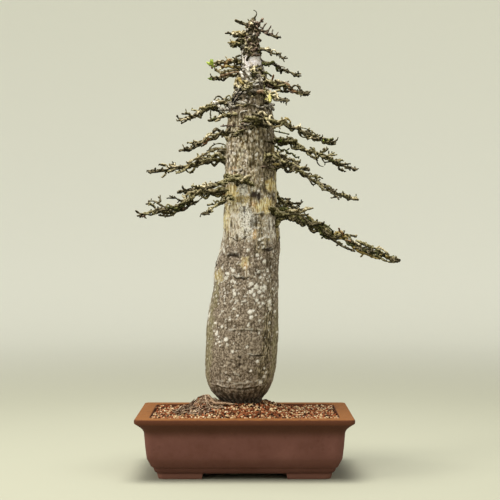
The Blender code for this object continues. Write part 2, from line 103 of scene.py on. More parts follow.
def pebbles(points, size, seed):
    # how far each point is from the middle of its cell, the gap to the next cell, and the cell's own value
    scaled = points / size
    low = np.floor(scaled).astype(np.int64)
    near = np.full(len(points), 9.0)
    second = near.copy()
    own = np.zeros(len(points))
    for step in np.ndindex(3, 3, 3):
        cell = low + np.array(step) - 1
        middle = cell + np.stack([hashed(cell, seed + axis) for axis in range(3)], axis=-1)
        away = np.linalg.norm(scaled - middle, axis=-1)
        closer = away < near
        second = np.where(closer, near, np.minimum(second, away))
        own = np.where(closer, hashed(cell, seed + 7), own)
        near = np.where(closer, away, near)
    return near, second - near, own


# Meshes


def evenTurns(count):
    return 2 * math.pi * np.arange(count) / count


def newMesh(name, points, faces):
    mesh = bpy.data.meshes.new(name)
    mesh.from_pydata(points.tolist(), [], faces)
    return mesh


def addObject(name, data):
    made = bpy.data.objects.new(name, data)
    bpy.context.scene.collection.objects.link(made)
    return made


def addPiece(name, mesh, finish, nodes):
    mesh.materials.append(finish)
    piece = addObject(name, mesh)
    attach(piece, "root")
    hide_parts(*nodes)
    return piece


def addSkin(name, points, faces, finish, nodes, smooth=True):
    mesh = newMesh(name, points + trayCentre, faces)
    mesh.polygons.foreach_set("use_smooth", [smooth] * len(mesh.polygons))
    return addPiece(name, mesh, finish, nodes)


class Bundle:
    # small things of one kind, gathered so that they can be joined into one mesh
    def __init__(self):
        self.points = []
        self.faces = []
        self.count = 0

    def add(self, points, *faces):
        # points are those of several things of the same build, and faces name the corners within one of them
        things, each = points.shape[:2]
        starts = self.count + each * np.arange(things)
        for kind in faces:
            self.faces += (kind + starts[:, None, None]).reshape(-1, kind.shape[1]).tolist()
        self.points.append(points.reshape(-1, 3))
        self.count += things * each

    def piece(self, name, finish, slot, nodes, smooth=True):
        addSkin(name, np.concatenate(self.points), self.faces, finish, nodes, smooth)


def lineFrames(lines):
    # the way ahead along some lines, and two directions square to it that twist as little as can be
    anyWay = (0.13, 0.31, 0.94)
    ahead = unit(np.gradient(lines, axis=1))
    across = np.empty_like(lines)
    held = np.cross(ahead[:, 0], anyWay)
    for n in range(lines.shape[1]):
        held = unit(held - np.sum(held * ahead[:, n], axis=-1, keepdims=True) * ahead[:, n])
        across[:, n] = held
    return ahead, across, np.cross(ahead, across)


def tubeFaces(rings, sides):
    side = np.arange(sides)
    after = (side + 1) % sides
    low = (np.arange(rings - 1) * sides)[:, None]
    walls = np.stack([low + side, low + after, low + sides + after, low + sides + side], axis=-1)
    last = (rings - 1) * sides
    foot = np.stack([np.full(sides, rings * sides), after, side], axis=-1)
    tip = np.stack([np.full(sides, rings * sides + 1), last + side, last + after], axis=-1)
    return walls.reshape(-1, 4), np.concatenate([foot, tip])


def addTubes(bundle, lines, radii, sides, flatten=1, knobs=0, knobSize=4 * mm):
    # closed tubes along lines of equally many points; knobs is how far noise lifts their skin, as a share
    ahead, across, square = lineFrames(lines)
    turn = evenTurns(sides)
    ring = across[:, :, None] * np.cos(turn)[:, None] + square[:, :, None] * np.sin(turn)[:, None] * flatten
    skin = lines[:, :, None] + ring * radii[..., None, None]
    if knobs:
        lift = radii[..., None] * knobs * roughNoise(skin, knobSize, 5, 2)
        skin = skin + ring * lift[..., None]
    pointed = np.array((-0.6, 0.6))[:, None]  # how far the ends stand out, in radii
    ends = lines[:, [0, -1]] + ahead[:, [0, -1]] * radii[:, [0, -1], None] * pointed
    points = np.concatenate([skin.reshape(len(lines), -1, 3), ends], axis=1)
    bundle.add(points, *tubeFaces(lines.shape[1], sides))


def closedLoft(rings):
    middles = np.array([rings[0].mean(axis=0), rings[-1].mean(axis=0)])
    walls, caps = tubeFaces(len(rings), len(rings[0]))
    return np.concatenate([*rings, middles]), walls.tolist() + caps.tolist()


def travelledAlong(line):
    # how far along a line each of its points is
    return np.append(0, np.cumsum(np.linalg.norm(np.diff(line, axis=0), axis=1)))


def roundedLine(bends, values, step):
    # a smooth line through some bends, with its points about one step apart, and the values carried along it
    rows = np.column_stack([bends, values])
    padded = np.concatenate([2 * rows[:1] - rows[1:2], rows, 2 * rows[-1:] - rows[-2:-1]])
    fine = []
    for before, start, end, after in zip(padded, padded[1:], padded[2:], padded[3:]):
        count = max(1, math.ceil(np.linalg.norm((end - start)[:3]) / step))
        s = (np.arange(count) / count)[:, None]
        curve = 2 * start + (end - before) * s + (2 * before - 5 * start + 4 * end - after) * s**2
        fine.append((curve + (3 * start - before - 3 * end + after) * s**3) / 2)
    fine = np.concatenate(fine + [rows[-1:]])
    return fine[:, :3], fine[:, 3]


# Finishes


def addNode(tree, kind, inputs=None, **settings):
    made = tree.nodes.new("ShaderNode" + kind)
    for name, value in settings.items():
        setattr(made, name, value)
    for name, value in (inputs or {}).items():
        if isinstance(value, bpy.types.NodeSocket):
            tree.links.new(value, made.inputs[name])
        else:
            made.inputs[name].default_value = value
    return made


def maths(tree, operation, a, b):
    return addNode(tree, "Math", {0: a, 1: b}, operation=operation).outputs[0]


def times(tree, a, b):
    return maths(tree, "MULTIPLY", a, b)


def mixed(tree, share, a, b):
    return addNode(tree, "Mix", {0: share, 6: a, 7: b}, data_type="RGBA").outputs[2]


def between(tree, value, low, high):
    # 0 below low, 1 above high
    return addNode(tree, "MapRange", {0: value, 1: low, 2: high}, interpolation_type="SMOOTHSTEP").outputs[0]


def rgb(red, green, blue):
    return (red, green, blue, 1)


def scaledPlace(tree, size, stretch=1.0):
    # object coordinates measured in sizes, and drawn out upwards by stretch
    place = addNode(tree, "TexCoord").outputs["Object"]
    shape = addNode(tree, "CombineXYZ", {0: 1.0, 1: 1.0, 2: maths(tree, "DIVIDE", 1.0, stretch)}).outputs[0]
    shaped = addNode(tree, "VectorMath", {0: place, 1: shape}, operation="MULTIPLY").outputs[0]
    scale = maths(tree, "DIVIDE", 1.0, size)
    return addNode(tree, "VectorMath", {0: shaped, "Scale": scale}, operation="SCALE").outputs[0]


def addNoise(tree, place, detail, **inputs):
    return addNode(tree, "TexNoise", {"Vector": place, "Scale": 1.0, "Detail": detail, **inputs}).outputs


def newGroup(name, inputs, outputs):
    # inputs by label with their usual values, numbers or colours, and outputs by label and kind
    tree = bpy.data.node_groups.new(name, "ShaderNodeTree")
    for label, value in inputs.items():
        kind = "NodeSocketColor" if isinstance(value, tuple) else "NodeSocketFloat"
        tree.interface.new_socket(label, in_out="INPUT", socket_type=kind).default_value = value
    for label, kind in outputs.items():
        tree.interface.new_socket(label, in_out="OUTPUT", socket_type="NodeSocket" + kind)
    return tree, tree.nodes.new("NodeGroupInput").outputs, tree.nodes.new("NodeGroupOutput").inputs


def makeMottle():
    # patches of three colours in a natural surface, and a height that follows them
    grey = rgb(0.2, 0.2, 0.2)
    usual = {"Dark": grey, "Middle": grey, "Light": grey, "Size": 0.01, "Stretch": 1.0, "Contrast": 1.0}
    tree, given, made = newGroup("mottle", usual, {"Color": "Color", "Height": "Float"})
    noise = addNoise(tree, scaledPlace(tree, given["Size"], given["Stretch"]), 5.0, Roughness=0.68)
    value = times(tree, maths(tree, "SUBTRACT", noise[0], 0.5), given["Contrast"])
    dark = mixed(tree, between(tree, value, -0.16, 0.02), given["Dark"], given["Middle"])
    tree.links.new(mixed(tree, between(tree, value, 0.0, 0.17), dark, given["Light"]), made["Color"])
    tree.links.new(value, made["Height"])
    return tree


def makeSpecks():
    # scattered crusty dots of uneven size
    tree, given, made = newGroup("specks", {"Size": 0.006, "Amount": 0.2}, {"Mask": "Float"})
    place = scaledPlace(tree, given["Size"])
    ragged = addNoise(tree, place, 2.0, Scale=2.6)["Color"]
    shifted = addNode(tree, "Mix", {0: 0.16, 4: place, 5: ragged}, data_type="VECTOR").outputs[1]
    cells = addNode(tree, "TexVoronoi", {"Vector": shifted, "Scale": 1.0}).outputs
    chance = addNode(tree, "SeparateColor", {0: cells["Color"]}).outputs
    chosen = maths(tree, "LESS_THAN", chance[0], given["Amount"])
    reach = maths(tree, "ADD", times(tree, chance[1], 0.22), 0.16)
    inside = maths(tree, "SUBTRACT", reach, cells["Distance"])
    tree.links.new(times(tree, chosen, between(tree, inside, -0.03, 0.05)), made["Mask"])
    return tree


def makeTops():
    # how far a surface faces the sky, and how far the ground, both broken up by noise
    usual = {"Size": 0.01, "Steepness": 0.3}
    tree, given, made = newGroup("tops", usual, {"Mask": "Float", "Under": "Float"})
    facing = addNode(tree, "SeparateXYZ", {0: addNode(tree, "NewGeometry").outputs["Normal"]}).outputs[2]
    noise = addNoise(tree, scaledPlace(tree, given["Size"]), 3.0)
    broken = maths(tree, "ADD", facing, times(tree, maths(tree, "SUBTRACT", noise[0], 0.5), 1.2))
    over = maths(tree, "SUBTRACT", broken, given["Steepness"])
    tree.links.new(between(tree, over, -0.25, 0.35), made["Mask"])
    tree.links.new(between(tree, times(tree, broken, -1.0), -0.25, 0.75), made["Under"])
    return tree


def makeGrain():
    # fine, even roughness
    tree, given, made = newGroup("grain", {"Size": 0.0012}, {"Height": "Float"})
    noise = addNoise(tree, scaledPlace(tree, given["Size"]), 3.0)
    tree.links.new(noise[0], made["Height"])
    return tree


effects = {"mottle": makeMottle(), "specks": makeSpecks(), "tops": makeTops(), "grain": makeGrain()}


def addEffect(tree, name, **inputs):
    return addNode(tree, "Group", inputs, node_tree=effects[name]).outputs


def mottled(tree, tones, size, stretch=1.0, contrast=1.0):
    # the mottle in three tones from dark to light, its size in mm
    dark, middle, light = (rgb(*tone) for tone in tones)
    return addEffect(tree, "mottle", Dark=dark, Middle=middle, Light=light, Size=size * mm, Stretch=stretch,
                     Contrast=contrast)


def newFinish(name, roughness, specular=0.3):
    finish = bpy.data.materials.new(name)
    finish.use_nodes = True
    shader = finish.node_tree.nodes["Principled BSDF"].inputs
    shader["Roughness"].default_value = roughness
    shader["Specular IOR Level"].default_value = specular
    return finish, finish.node_tree, shader


def paint(tree, shader, colour, height, depth):
    # depth, in mm, is how far the height is felt
    tree.links.new(colour, shader["Base Color"])
    bump = addNode(tree, "Bump", {"Height": height, "Distance": depth * mm, "Strength": 1.0})
    tree.links.new(bump.outputs[0], shader["Normal"])


def woodFinish(name, tones, size=5, paintedTopHighlight=0.4):
    # rough bark for limbs and twigs, with a painted highlight where it faces the sky and painted shade
    # beneath
    finish, tree, shader = newFinish(name, 0.86, 0.12)
    patches = mottled(tree, tones, size, contrast=1.4)
    tops = addEffect(tree, "tops", Size=2 * size * mm, Steepness=0.45)
    dark, _, light = tones
    # painted highlight: the light tone laid over the faces turned to the sky
    colour = mixed(tree, times(tree, tops["Mask"], paintedTopHighlight), patches["Color"], rgb(*light))
    # painted shade: a darker copy of the dark tone laid over the faces turned to the ground
    paintedUnderShade = rgb(*(0.5 * part for part in dark))
    colour = mixed(tree, times(tree, tops["Under"], 0.85), colour, paintedUnderShade)
    grain = addEffect(tree, "grain", Size=1.3 * mm)["Height"]
    height = maths(tree, "ADD", patches["Height"], times(tree, grain, 0.4))
    paint(tree, shader, colour, height, 1.1)
    return finish


# Trunk

trunk = {
    "ground": 139.3,  # its flat foot's height over the tray's feet, in mm like the rest
    "behindCentre": 15,
    # height above the soil, radius and sideways lean
    "section": (
        (0, 40, -6), (9, 46.5, -10), (21, 57, -11), (46, 67, -11), (95, 72.3, -8), (170, 71.3, -3),
        (244, 65, 3.5), (281, 63.5, 5), (331, 58.5, 13), (393, 53.7, 11.5), (505, 49.6, 10.7),
        (591, 44.4, 12), (616, 40, 12), (641, 33, 14), (690, 21.7, 13.5), (740, 14, 13.8),
        (765, 10, 14.8), (786, 5.5, 15.9),
    ),
    "columns": 240,
    "rows": 396,
    "pleats": 12,
    "ribs": 27,
    "ribDepth": 2.6,
    "ribsTo": 48,
    "knobbyFrom": 585,
    "calmFrom": 770,
    "pebbleSize": 5.2,
    "furrowSize": 4.2,
    "scaleSize": 6.6,
    "knobSize": 12,
    "crustSize": 8.5,
    "fleckSize": 4.6,
    # how thick the lichen is on it, by height above the soil
    "lichen": ((0, 0.02), (60, 0.05), (110, 0.05), (175, 0.16), (225, 0.46), (280, 0.4), (300, 0.14),
               (330, 0.24), (410, 0.42), (440, 0.14), (600, 0.08)),
}

# Places on the trunk's front: across from its axis, height above the soil, half width and half height, in mm
trunkMarks = {
    "ochre": ((30, 404, 23, 15), (-37, 432, 17, 17), (42, 446, 9, 12)),
    "straw": ((-57, 262, 7, 13), (-36, 416, 12, 9), (-47, 380, 5, 26), (-5, 288, 10, 13)),
    "amber": ((7, 349, 5, 14), (-3, 283, 5, 9), (4, 408, 7, 6), (-36, 478, 10, 7)),
    "frost": ((-9, 374, 18, 32), (-14, 440, 9, 15), (-22, 346, 9, 8), (41, 373, 8, 9), (37, 346, 11, 15)),
    "olive": ((-66, 130, 8, 100), (66, 120, 6, 80), (-60, 230, 5, 40)),
    "moss": ((-14, 416, 17, 8), (33, 336, 5, 4), (54, 350, 4, 16), (-50, 465, 7, 10), (46, 512, 5, 16)),
    "dark": ((9, 427, 6, 6), (18, 422, 4, 7), (-31, 607, 9, 9), (-33, 305, 12, 4), (38, 316, 8.5, 3.4),
             (-12, 395, 2.4, 6), (-9, 258, 5, 2.6), (34, 101, 12, 1.4), (-2, 98, 3, 2.6), (-2, 84, 4, 3)),
    "pale": ((-32, 366, 12, 32), (-40, 345, 7, 16), (-42, 506, 7, 30), (-1, 267, 7, 6), (48, 208, 3.4, 9),
             (50, 196, 2.6, 5), (-10, 500, 6, 22), (-30, 530, 10, 14), (-14, 704, 9, 17), (41, 374, 8, 8),
             (38, 343, 13, 14), (-12, 470, 8, 12)),
    "brown": ((50, 150, 9, 95), (46, 60, 14, 40), (37, 498, 24, 62), (30, 440, 14, 16), (6, 590, 18, 26),
              (14, 365, 9, 20), (20, 330, 12, 22), (14, 425, 14, 12), (7, 520, 13, 30)),
    "wound": ((1, 702, 21, 11), (12, 703, 12, 13), (-9, 695, 12, 9)),
    # round and sharp-edged
    "lichen": (
        (-23, 226, 4), (10, 230, 4.4), (17, 224, 3.6), (27, 229, 4), (33, 222, 3), (48, 210, 4.4),
        (23, 213, 4), (12, 189, 4.6), (19, 192, 3), (15, 179, 4), (33, 172, 2.6), (-28, 174, 2.6),
        (-33, 134, 4.6), (-53, 144, 2.8), (68, 146, 3), (34, 89, 3), (52, 66, 2.3), (49, 57, 2.7),
        (42, 46, 3.6), (-20, 53, 3.4), (11, 119, 2.4), (-46, 128, 2), (-50, 133, 1.8), (-44, 121, 2),
        (-52, 124, 1.7), (-48, 139, 1.8), (-41, 130, 1.6), (-57, 150, 2), (-56, 166, 2.2), (-4, 314, 3.4),
        (33, 291, 4.2), (24, 270, 3.2), (-39, 266, 3.4), (-29, 273, 3.4), (-43, 257, 3.4), (10, 246, 4.4),
        (20, 240, 4.2), (36, 240, 3.4), (-13, 182, 2.6), (60, 189, 2.8), (-43, 159, 2.8),
    ),
}
# Lines across the front: across, height, half width, how far the ends turn up, depth and thickness, in mm
trunkCreases = (
    (-27, 334, 19, 10, 2.4, 1.3), (-33, 303, 14, -3, 3.0, 3.0), (38, 313, 9, 3, 2.6, 2.4),
    (-10, 256, 17, 6, 2.4, 1.8), (33, 271, 9, -1, 1.6, 1.2), (4, 153, 34, -3, 1.3, 1.7),
    (32, 101, 18, 1, 1.4, 1.5), (-16, 62, 20, -2, 1.3, 1.4), (-2, 34, 52, 5, 1.8, 1.6),
    (0, 43, 46, 6, 1.0, 1.4), (28, 388, 24, -2, 1.6, 1.5), (-25, 474, 9, 2, 2.4, 2.2),
)
# The marks at the front, and again at the back: how far they are turned round the trunk, mirroring, shift
# upwards, and where they start to fade
trunkSides = ((0.0, 1, 0, 0.0), (2.15, -1, 22, 0.55), (4.2, 1, -31, 0.55))


def trunkAt(height):
    # the trunk's radius and its axis's sideways place, at heights above the soil in metres
    rows = np.array(trunk["section"]) * mm
    level = np.clip(height, rows[0, 0], rows[-1, 0])
    low = np.clip(np.searchsorted(rows[:, 0], level, side="right") - 1, 0, len(rows) - 2)
    numbers = np.arange(len(rows))
    before, after = np.maximum(numbers - 1, 0), np.minimum(numbers + 1, len(rows) - 1)
    slopes = (rows[after, 1:] - rows[before, 1:]) / (rows[after, :1] - rows[before, :1])
    span = rows[low + 1, 0] - rows[low, 0]
    s = ((level - rows[low, 0]) / span)[..., None]
    span = span[..., None]
    values = (
        (2 * s**3 - 3 * s**2 + 1) * rows[low, 1:]
        + (s**3 - 2 * s**2 + s) * span * slopes[low]
        + (3 * s**2 - 2 * s**3) * rows[low + 1, 1:]
        + (s**3 - s**2) * span * slopes[low + 1]
    )
    return values[..., 0], values[..., 1]


def trunkGirth(angle, height):
    swell = 0.022 * np.cos(2 * angle + 0.6) + 0.014 * np.cos(3 * angle + height * 14)
    pleat = 0.035 * np.cos(trunk["pleats"] * angle) * (1 - ease(height / 0.03))
    return 1 + swell * ease(height / 0.06) - np.abs(pleat)


def trunkAxis(height):
    radius, lean = trunkAt(np.asarray(height, dtype=float))
    behind = np.full_like(radius, trunk["behindCentre"] * mm)
    return radius, np.stack([lean, behind, trunk["ground"] * mm + height + 0 * radius], axis=-1)


def trunkSkin(angle, height):
    # points on the trunk, and the way straight out of it there
    radius, axis = trunkAxis(height)
    outward = np.stack([np.cos(angle), np.sin(angle), 0 * angle], axis=-1)
    return axis + (radius * trunkGirth(angle, height))[..., None] * outward, outward


def insideOvals(across, height, ovals, ragged, edge):
    inside = np.zeros_like(height)
    for row in ovals:
        middle, level, wide, tall = (*row, row[2])[:4]
        away = np.hypot((across - middle) / wide, (height - level) / tall) + ragged
        inside = np.maximum(inside, 1 - ease((away - 1 + edge) / (2 * edge)))
    return inside


def creaseRelief(across, height, wander):
    # a groove with a raised, pale lip over it for each line
    relief = np.zeros_like(height)
    lips = np.zeros_like(height)
    for middle, level, wide, turnUp, depth, thick in trunkCreases:
        share = np.clip((across - middle) / wide, -1.5, 1.5)
        away = (height - level - turnUp * share**2 + wander) / thick
        fade = 1 - ease((np.abs(share) - 0.75) / 0.4)
        lip = np.exp(-((away - 1.5) ** 2))
        lips = np.maximum(lips, fade * lip)
        relief += depth * fade * (0.55 * lip - np.exp(-(away**2)))
    return relief, lips


def markedPlaces(points, angle, height, ragged):
    # a mask for each kind of mark, the creases' relief in mm and their lips
    level = height / mm
    wander = 2.2 * softNoise(points, 9 * mm, 61)
    radius = trunkAt(height)[0] / mm
    masks = {name: np.zeros_like(level) for name in trunkMarks}
    relief = np.zeros_like(level)
    lips = np.zeros_like(level)
    for turn, mirror, shift, least in trunkSides:
        fromFront = angle + math.pi / 2 - turn
        across = mirror * radius * np.sin(fromFront)
        facing = ease((np.cos(fromFront) - least) * 4)
        for name, ovals in trunkMarks.items():
            rough, edge = (0.6, 0.12) if name == "lichen" else (1, 0.3)
            inside = insideOvals(across, level - shift, ovals, rough * ragged, edge)
            masks[name] = np.maximum(masks[name], inside * facing)
        creases, edges = creaseRelief(across, level - shift, wander)
        relief += creases * facing
        lips = np.maximum(lips, edges * facing)
    return masks, relief, lips


def pebbledSkin(points, upper, knobby):
    # fine pebbles and a few pits on the belly, and upright furrows higher up
    near, _, own = pebbles(points * (1, 1, 0.8), trunk["pebbleSize"] * mm, 11)
    relief = (0.9 - 0.35 * upper) * (0.9 * (0.55 - near) + 0.5 * own) * (1 - 0.7 * knobby)
    relief -= 1.5 * (own < 0.13) * (1 - ease(near / 0.5)) * (1 - upper)
    relief += (0.35 + 1.15 * upper) * roughNoise(points / (1, 1, 6), trunk["furrowSize"] * mm, 21)
    relief += 0.5 * softNoise(points / (5, 5, 1), 2.4 * mm, 27) * (1 - upper)
    return relief, own


def scalySkin(points, scaly):
    # lifted scales with cracks between them, and which of them are pale
    middle, gap, own = pebbles(points / (1, 1, 1.6), trunk["scaleSize"] * mm, 53)
    relief = scaly * (2.4 * (0.6 - middle) + 2.0 * (own - 0.4))
    crack = scaly * (1 - ease((gap - 0.08) / 0.2))
    flake = scaly * ease((own - 0.35) / 0.3) * (1 - ease((middle - 0.34) / 0.25))
    return relief, crack, flake


def footRibs(points, angle, level):
    ribs = 0.5 + 0.5 * np.cos(trunk["ribs"] * angle + 4 * softNoise(points, 24 * mm, 3))
    fade = 1 - ease((level - 14) / (trunk["ribsTo"] - 14))
    return trunk["ribDepth"] * fade * ribs * (0.75 + 0.5 * softNoise(points, 12 * mm, 8))


def lichenDots(points, level, masks, ragged):
    # large crusts, and small flecks that crowd where the bark is frosted or pale
    heights, shares = zip(*trunk["lichen"])
    density = np.interp(level, heights, shares)
    crust, _, chance = pebbles(points, trunk["crustSize"] * mm, 83)
    large = (chance < density) * (1 - ease((crust + 0.5 * ragged - 0.26) / 0.12))
    density = np.maximum(0.8 * density, 0.85 * np.maximum(masks["frost"], 0.6 * masks["pale"]))
    fleck, _, chance = pebbles(points, trunk["fleckSize"] * mm, 97)
    small = (chance < density) * (1 - ease((fleck - 0.26 - 0.1 * masks["frost"]) / 0.12))
    return np.maximum(large, small)


def trunkRelief(points, angle, height):
    # how far the bark stands out from the trunk's plain form, in mm, and its masks
    level = height / mm
    ragged = 0.45 * roughNoise(points, 5 * mm, 40)
    masks, relief, lips = markedPlaces(points, angle, height, ragged)
    upper = ease((level - 180) / 120)
    knobby = ease((level - trunk["knobbyFrom"]) / 50)
    left = ease(0.42 + 0.75 * np.cos(angle - 3.7))
    pebbled, own = pebbledSkin(points, upper, knobby)
    scales, masks["crack"], masks["flake"] = scalySkin(points, left * ease((level - 425) / 30) * (1 - knobby))
    swell, _, value = pebbles(points, trunk["knobSize"] * mm, 71)
    knobs = knobby * (5.5 * (0.6 - swell) + 2.5 * value - 0.5)
    relief += pebbled + scales - footRibs(points, angle, level) + knobs
    relief *= 1 - 0.85 * np.maximum(masks["wound"], masks["pale"] * knobby)
    relief += 0.8 * masks["lichen"] * (0.6 + 0.4 * own) - 1.2 * masks["dark"]
    relief = np.where(level > trunk["calmFrom"], relief * 0.4, relief)
    dots = np.maximum(lichenDots(points, level, masks, ragged), 0.75 * lips * (own > 0.3))
    masks["lichen"] = np.maximum(masks["lichen"], dots) * (1 - masks["wound"])
    # painted shade: the hollow mask darkens the bark where its relief is sunk
    masks["hollow"] = np.clip(0.5 - 0.28 * relief, 0, 1)
    relief += 0.9 * roughNoise(points, 26 * mm, 1, 2)
    shaded = 0.75 - 0.45 * np.cos(angle - 3.6) + 0.5 * ease((level - 690) / 40)
    masks["brown"] = np.maximum(masks["brown"], np.clip(ease((level - 565) / 40) * shaded, 0, 1))
    masks["streak"] = left * ease((level - 315) / 60) * (1 - ease((level - 560) / 50))
    # painted shade where the trunk's foot meets the soil
    masks["foot"] = 1 - ease((level - 10) / 32)
    return relief, masks


# Tones of the bark from dark to light, and their patches' size in mm, stretch upwards and contrast
barkTones = {
    "grey": (((0.1, 0.074, 0.05), (0.255, 0.2, 0.145), (0.49, 0.41, 0.32)), 3.8, 1.2, 1.6),
    "streak": (((0.12, 0.078, 0.026), (0.76, 0.61, 0.38), (1.0, 0.95, 0.76)), 3.8, 2.8, 2.0),
    "ochre": (((0.3, 0.19, 0.055), (0.84, 0.66, 0.3), (1.0, 0.93, 0.63)), 3.2, 6.0, 1.8),
    "amber": (((0.28, 0.15, 0.06), (0.56, 0.36, 0.17), (0.88, 0.7, 0.44)), 3.2, 1.8, 1.5),
    "frost": (((0.15, 0.13, 0.1), (0.58, 0.54, 0.46), (0.97, 0.95, 0.89)), 3.0, 1.0, 2.6),
    "olive": (((0.1, 0.085, 0.035), (0.26, 0.225, 0.11), (0.6, 0.55, 0.36)), 3.4, 3.0, 1.4),
    "pale": (((0.25, 0.18, 0.11), (0.68, 0.58, 0.44), (0.96, 0.88, 0.78)), 4.0, 3.0, 1.8),
    "brown": (((0.03, 0.021, 0.007), (0.115, 0.09, 0.048), (0.54, 0.45, 0.3)), 4.0, 2.8, 1.7),
    "crust": (((0.6, 0.54, 0.44), (0.88, 0.83, 0.75), (0.95, 0.93, 0.88)), 3.0, 1.0, 1.0),
    "bare": (((0.7, 0.62, 0.55), (0.93, 0.87, 0.86), (0.98, 0.95, 1.0)), 7.0, 1.4, 1.2),
    "gold": (((0.12, 0.085, 0.025), (0.34, 0.25, 0.085), (0.6, 0.48, 0.22)), 3.2, 0.6, 1.5),
}
# What lies over the grey, from the lowest coat up: where, how well it covers, and its tone or plain colour
barkCoats = (
    ("streak", 0.95, "streak"), ("brown", 0.85, "brown"), ("olive", 0.6, "olive"), ("straw", 0.55, "ochre"),
    ("ochre", 1.0, "ochre"), ("amber", 0.9, "amber"), ("frost", 0.85, "frost"), ("pale", 0.85, "pale"),
    ("moss", 0.7, "gold"), ("flake", 0.75, "pale"), ("crack", 0.7, (0.085, 0.055, 0.018)),
    # the coat over the bark's hollows is painted shade
    ("speck", 0.55, (0.5, 0.44, 0.35)), ("crust", 1.0, "crust"), ("hollowShade", 1.0, (0.042, 0.028, 0.01)),
    # the coat at the trunk's foot is painted shade
    ("wound", 1.0, "bare"), ("dark", 0.75, (0.035, 0.024, 0.02)), ("foot", 0.58, (0.03, 0.029, 0.027)),
)


def makeTrunkBark(maskNames):
    finish, tree, shader = newFinish("trunkBark", 0.9, 0.12)
    tones = {name: mottled(tree, *row) for name, row in barkTones.items()}
    mask = {name: addNode(tree, "Attribute", attribute_name=name).outputs["Fac"] for name in maskNames}
    mask["speck"] = addEffect(tree, "specks", Size=4.4 * mm, Amount=0.2)["Mask"]
    frosting = times(tree, addEffect(tree, "specks", Size=3.8 * mm, Amount=0.6)["Mask"], mask["frost"])
    mask["crust"] = maths(tree, "MAXIMUM", mask["lichen"], frosting)
    # painted shade in the bark's hollows, thinner where ochre lies
    cover = maths(tree, "SUBTRACT", 0.88, times(tree, mask["ochre"], 0.6))
    mask["hollowShade"] = times(tree, between(tree, mask["hollow"], 0.42, 0.95), cover)
    colour = tones["grey"]["Color"]
    for name, share, tone in barkCoats:
        over = tones[tone]["Color"] if tone in tones else rgb(*tone)
        colour = mixed(tree, times(tree, mask[name], share), colour, over)
    height = maths(tree, "ADD", tones["grey"]["Height"], times(tree, mask["speck"], 0.25))
    paint(tree, shader, colour, height, 1.6)
    return finish


def makeTrunk():
    columns, rows = trunk["columns"], trunk["rows"]
    turn = evenTurns(columns)
    levels = np.linspace(0, trunk["section"][-1][0] * mm, rows)
    height, angle = (grid.ravel() for grid in np.meshgrid(levels, turn, indexing="ij"))
    skin, outward = trunkSkin(angle, height)
    relief, masks = trunkRelief(skin, angle, height)
    relief *= np.clip(trunkAt(height)[0] / (20 * mm), 0.35, 1) * ease(height / (3 * mm))
    skin = skin + (relief * mm)[:, None] * outward
    middles = trunkAxis(np.array([levels[0], levels[-1]]))[1] + np.array(((0, 0, 0), (0, 0, 2 * mm)))
    walls, caps = tubeFaces(rows, columns)
    piece = addSkin("trunk_bark", np.concatenate([skin, middles]), walls.tolist() + caps.tolist(),
                    makeTrunkBark(masks), ["trunk"])
    for name, values in masks.items():
        layer = piece.data.attributes.new(name, "FLOAT", "POINT")
        layer.data.foreach_set("value", np.append(values, (0, 0)).astype(np.float32))


makeTrunk()
print("trunk done")



# Limbs

Limb = namedtuple("Limb", "name height azimuth turn reach drop root spread bough")
# in mm and degrees, as in the solids: azimuth 0 is to the right and -90 to the front
limbs = [Limb(*row) for row in (
    ("low_right", 387, -12, 0, 255, 92, 13, 50, 0.34), ("low_back", 416, 102, 0, 150, 55, 8, 44, 0.34),
    ("low_left_front", 420, 226, 0, 88, 33, 5.5, 26, 0), ("low_right_back", 428, 50, 0, 130, 30, 6, 36, 0.34),
    ("low_left", 438, 190, 0, 182, 54, 8.5, 52, 0.34), ("front_left", 456, 262, -57, 110, 24, 9, 32, 0.34),
    ("mid_back", 474, 80, 0, 138, 46, 7.5, 42, 0.34), ("mid_right", 490, -8, 0, 173, 73, 8, 38, 0.34),
    ("mid_left", 500, 174, 0, 163, 24, 8, 42, 0.34), ("front_right", 507, -50, 0, 128, 36, 6.5, 28, 0.34),
    ("mid_left_back", 519, 136, 0, 112, 16, 5.5, 34, 0), ("mid_right_back", 521, 52, 0, 128, 18, 5.5, 32, 0),
    ("upper_back", 535, 98, 0, 120, 38, 6.5, 34, 0.34), ("upper_mid_right", 542, 12, 0, 182, 59, 8, 38, 0.34),
    ("upper_mid_left", 552, 196, 0, 104, 37, 7, 32, 0.34), ("high_front", 556, 250, 0, 50, 14, 4.5, 22, 0),
    ("high_right", 581, -82, 72, 131, 50, 9.5, 34, 0.34), ("high_back", 583, 82, 0, 105, 34, 6.5, 32, 0.34),
    ("high_left_front", 591, 228, 0, 82, 17, 5.5, 24, 0), ("high_left", 620, 184, 0, 113, 40, 7.5, 36, 0.34),
    ("shoulder_back", 633, 108, 0, 88, 26, 6, 28, 0.34),
    ("shoulder_front_right", 637, -50, 0, 78, 24, 5.5, 26, 0),
    ("shoulder_front", 650, 262, 0, 52, 14, 5, 22, 0), ("shoulder_right", 659, -12, 0, 93, 26, 8, 30, 0.34),
    ("neck_left_back", 676, 170, 0, 64, 7, 5.5, 24, 0), ("neck_front", 682, 276, 0, 40, 10, 4, 16, 0),
    ("neck_right_back", 686, 66, 0, 58, 14, 4.5, 20, 0), ("neck_right", 703, 8, 0, 85, 28, 5.5, 22, 0.34),
    ("neck_left", 705, 194, 0, 70, 13, 6, 24, 0), ("neck_back", 713, 118, 0, 48, 10, 4, 17, 0),
    ("crown_front", 724, 256, 0, 34, 7, 3.8, 14, 0), ("neck_front_right", 728, -22, 0, 64, 22, 4.5, 17, 0),
    ("crest_left_low", 735, 202, 0, 34, -1, 4.5, 15, 0), ("crest_back", 743, 84, 0, 36, 6, 3.5, 13, 0),
    ("crest_left", 757, 176, 0, 44, -5, 4, 15, 0), ("crest_right", 769, -8, 0, 51, 18, 4, 17, 0),
    ("tip_left", 775, 190, 0, 28, -11, 3.2, 9, 0),
)]
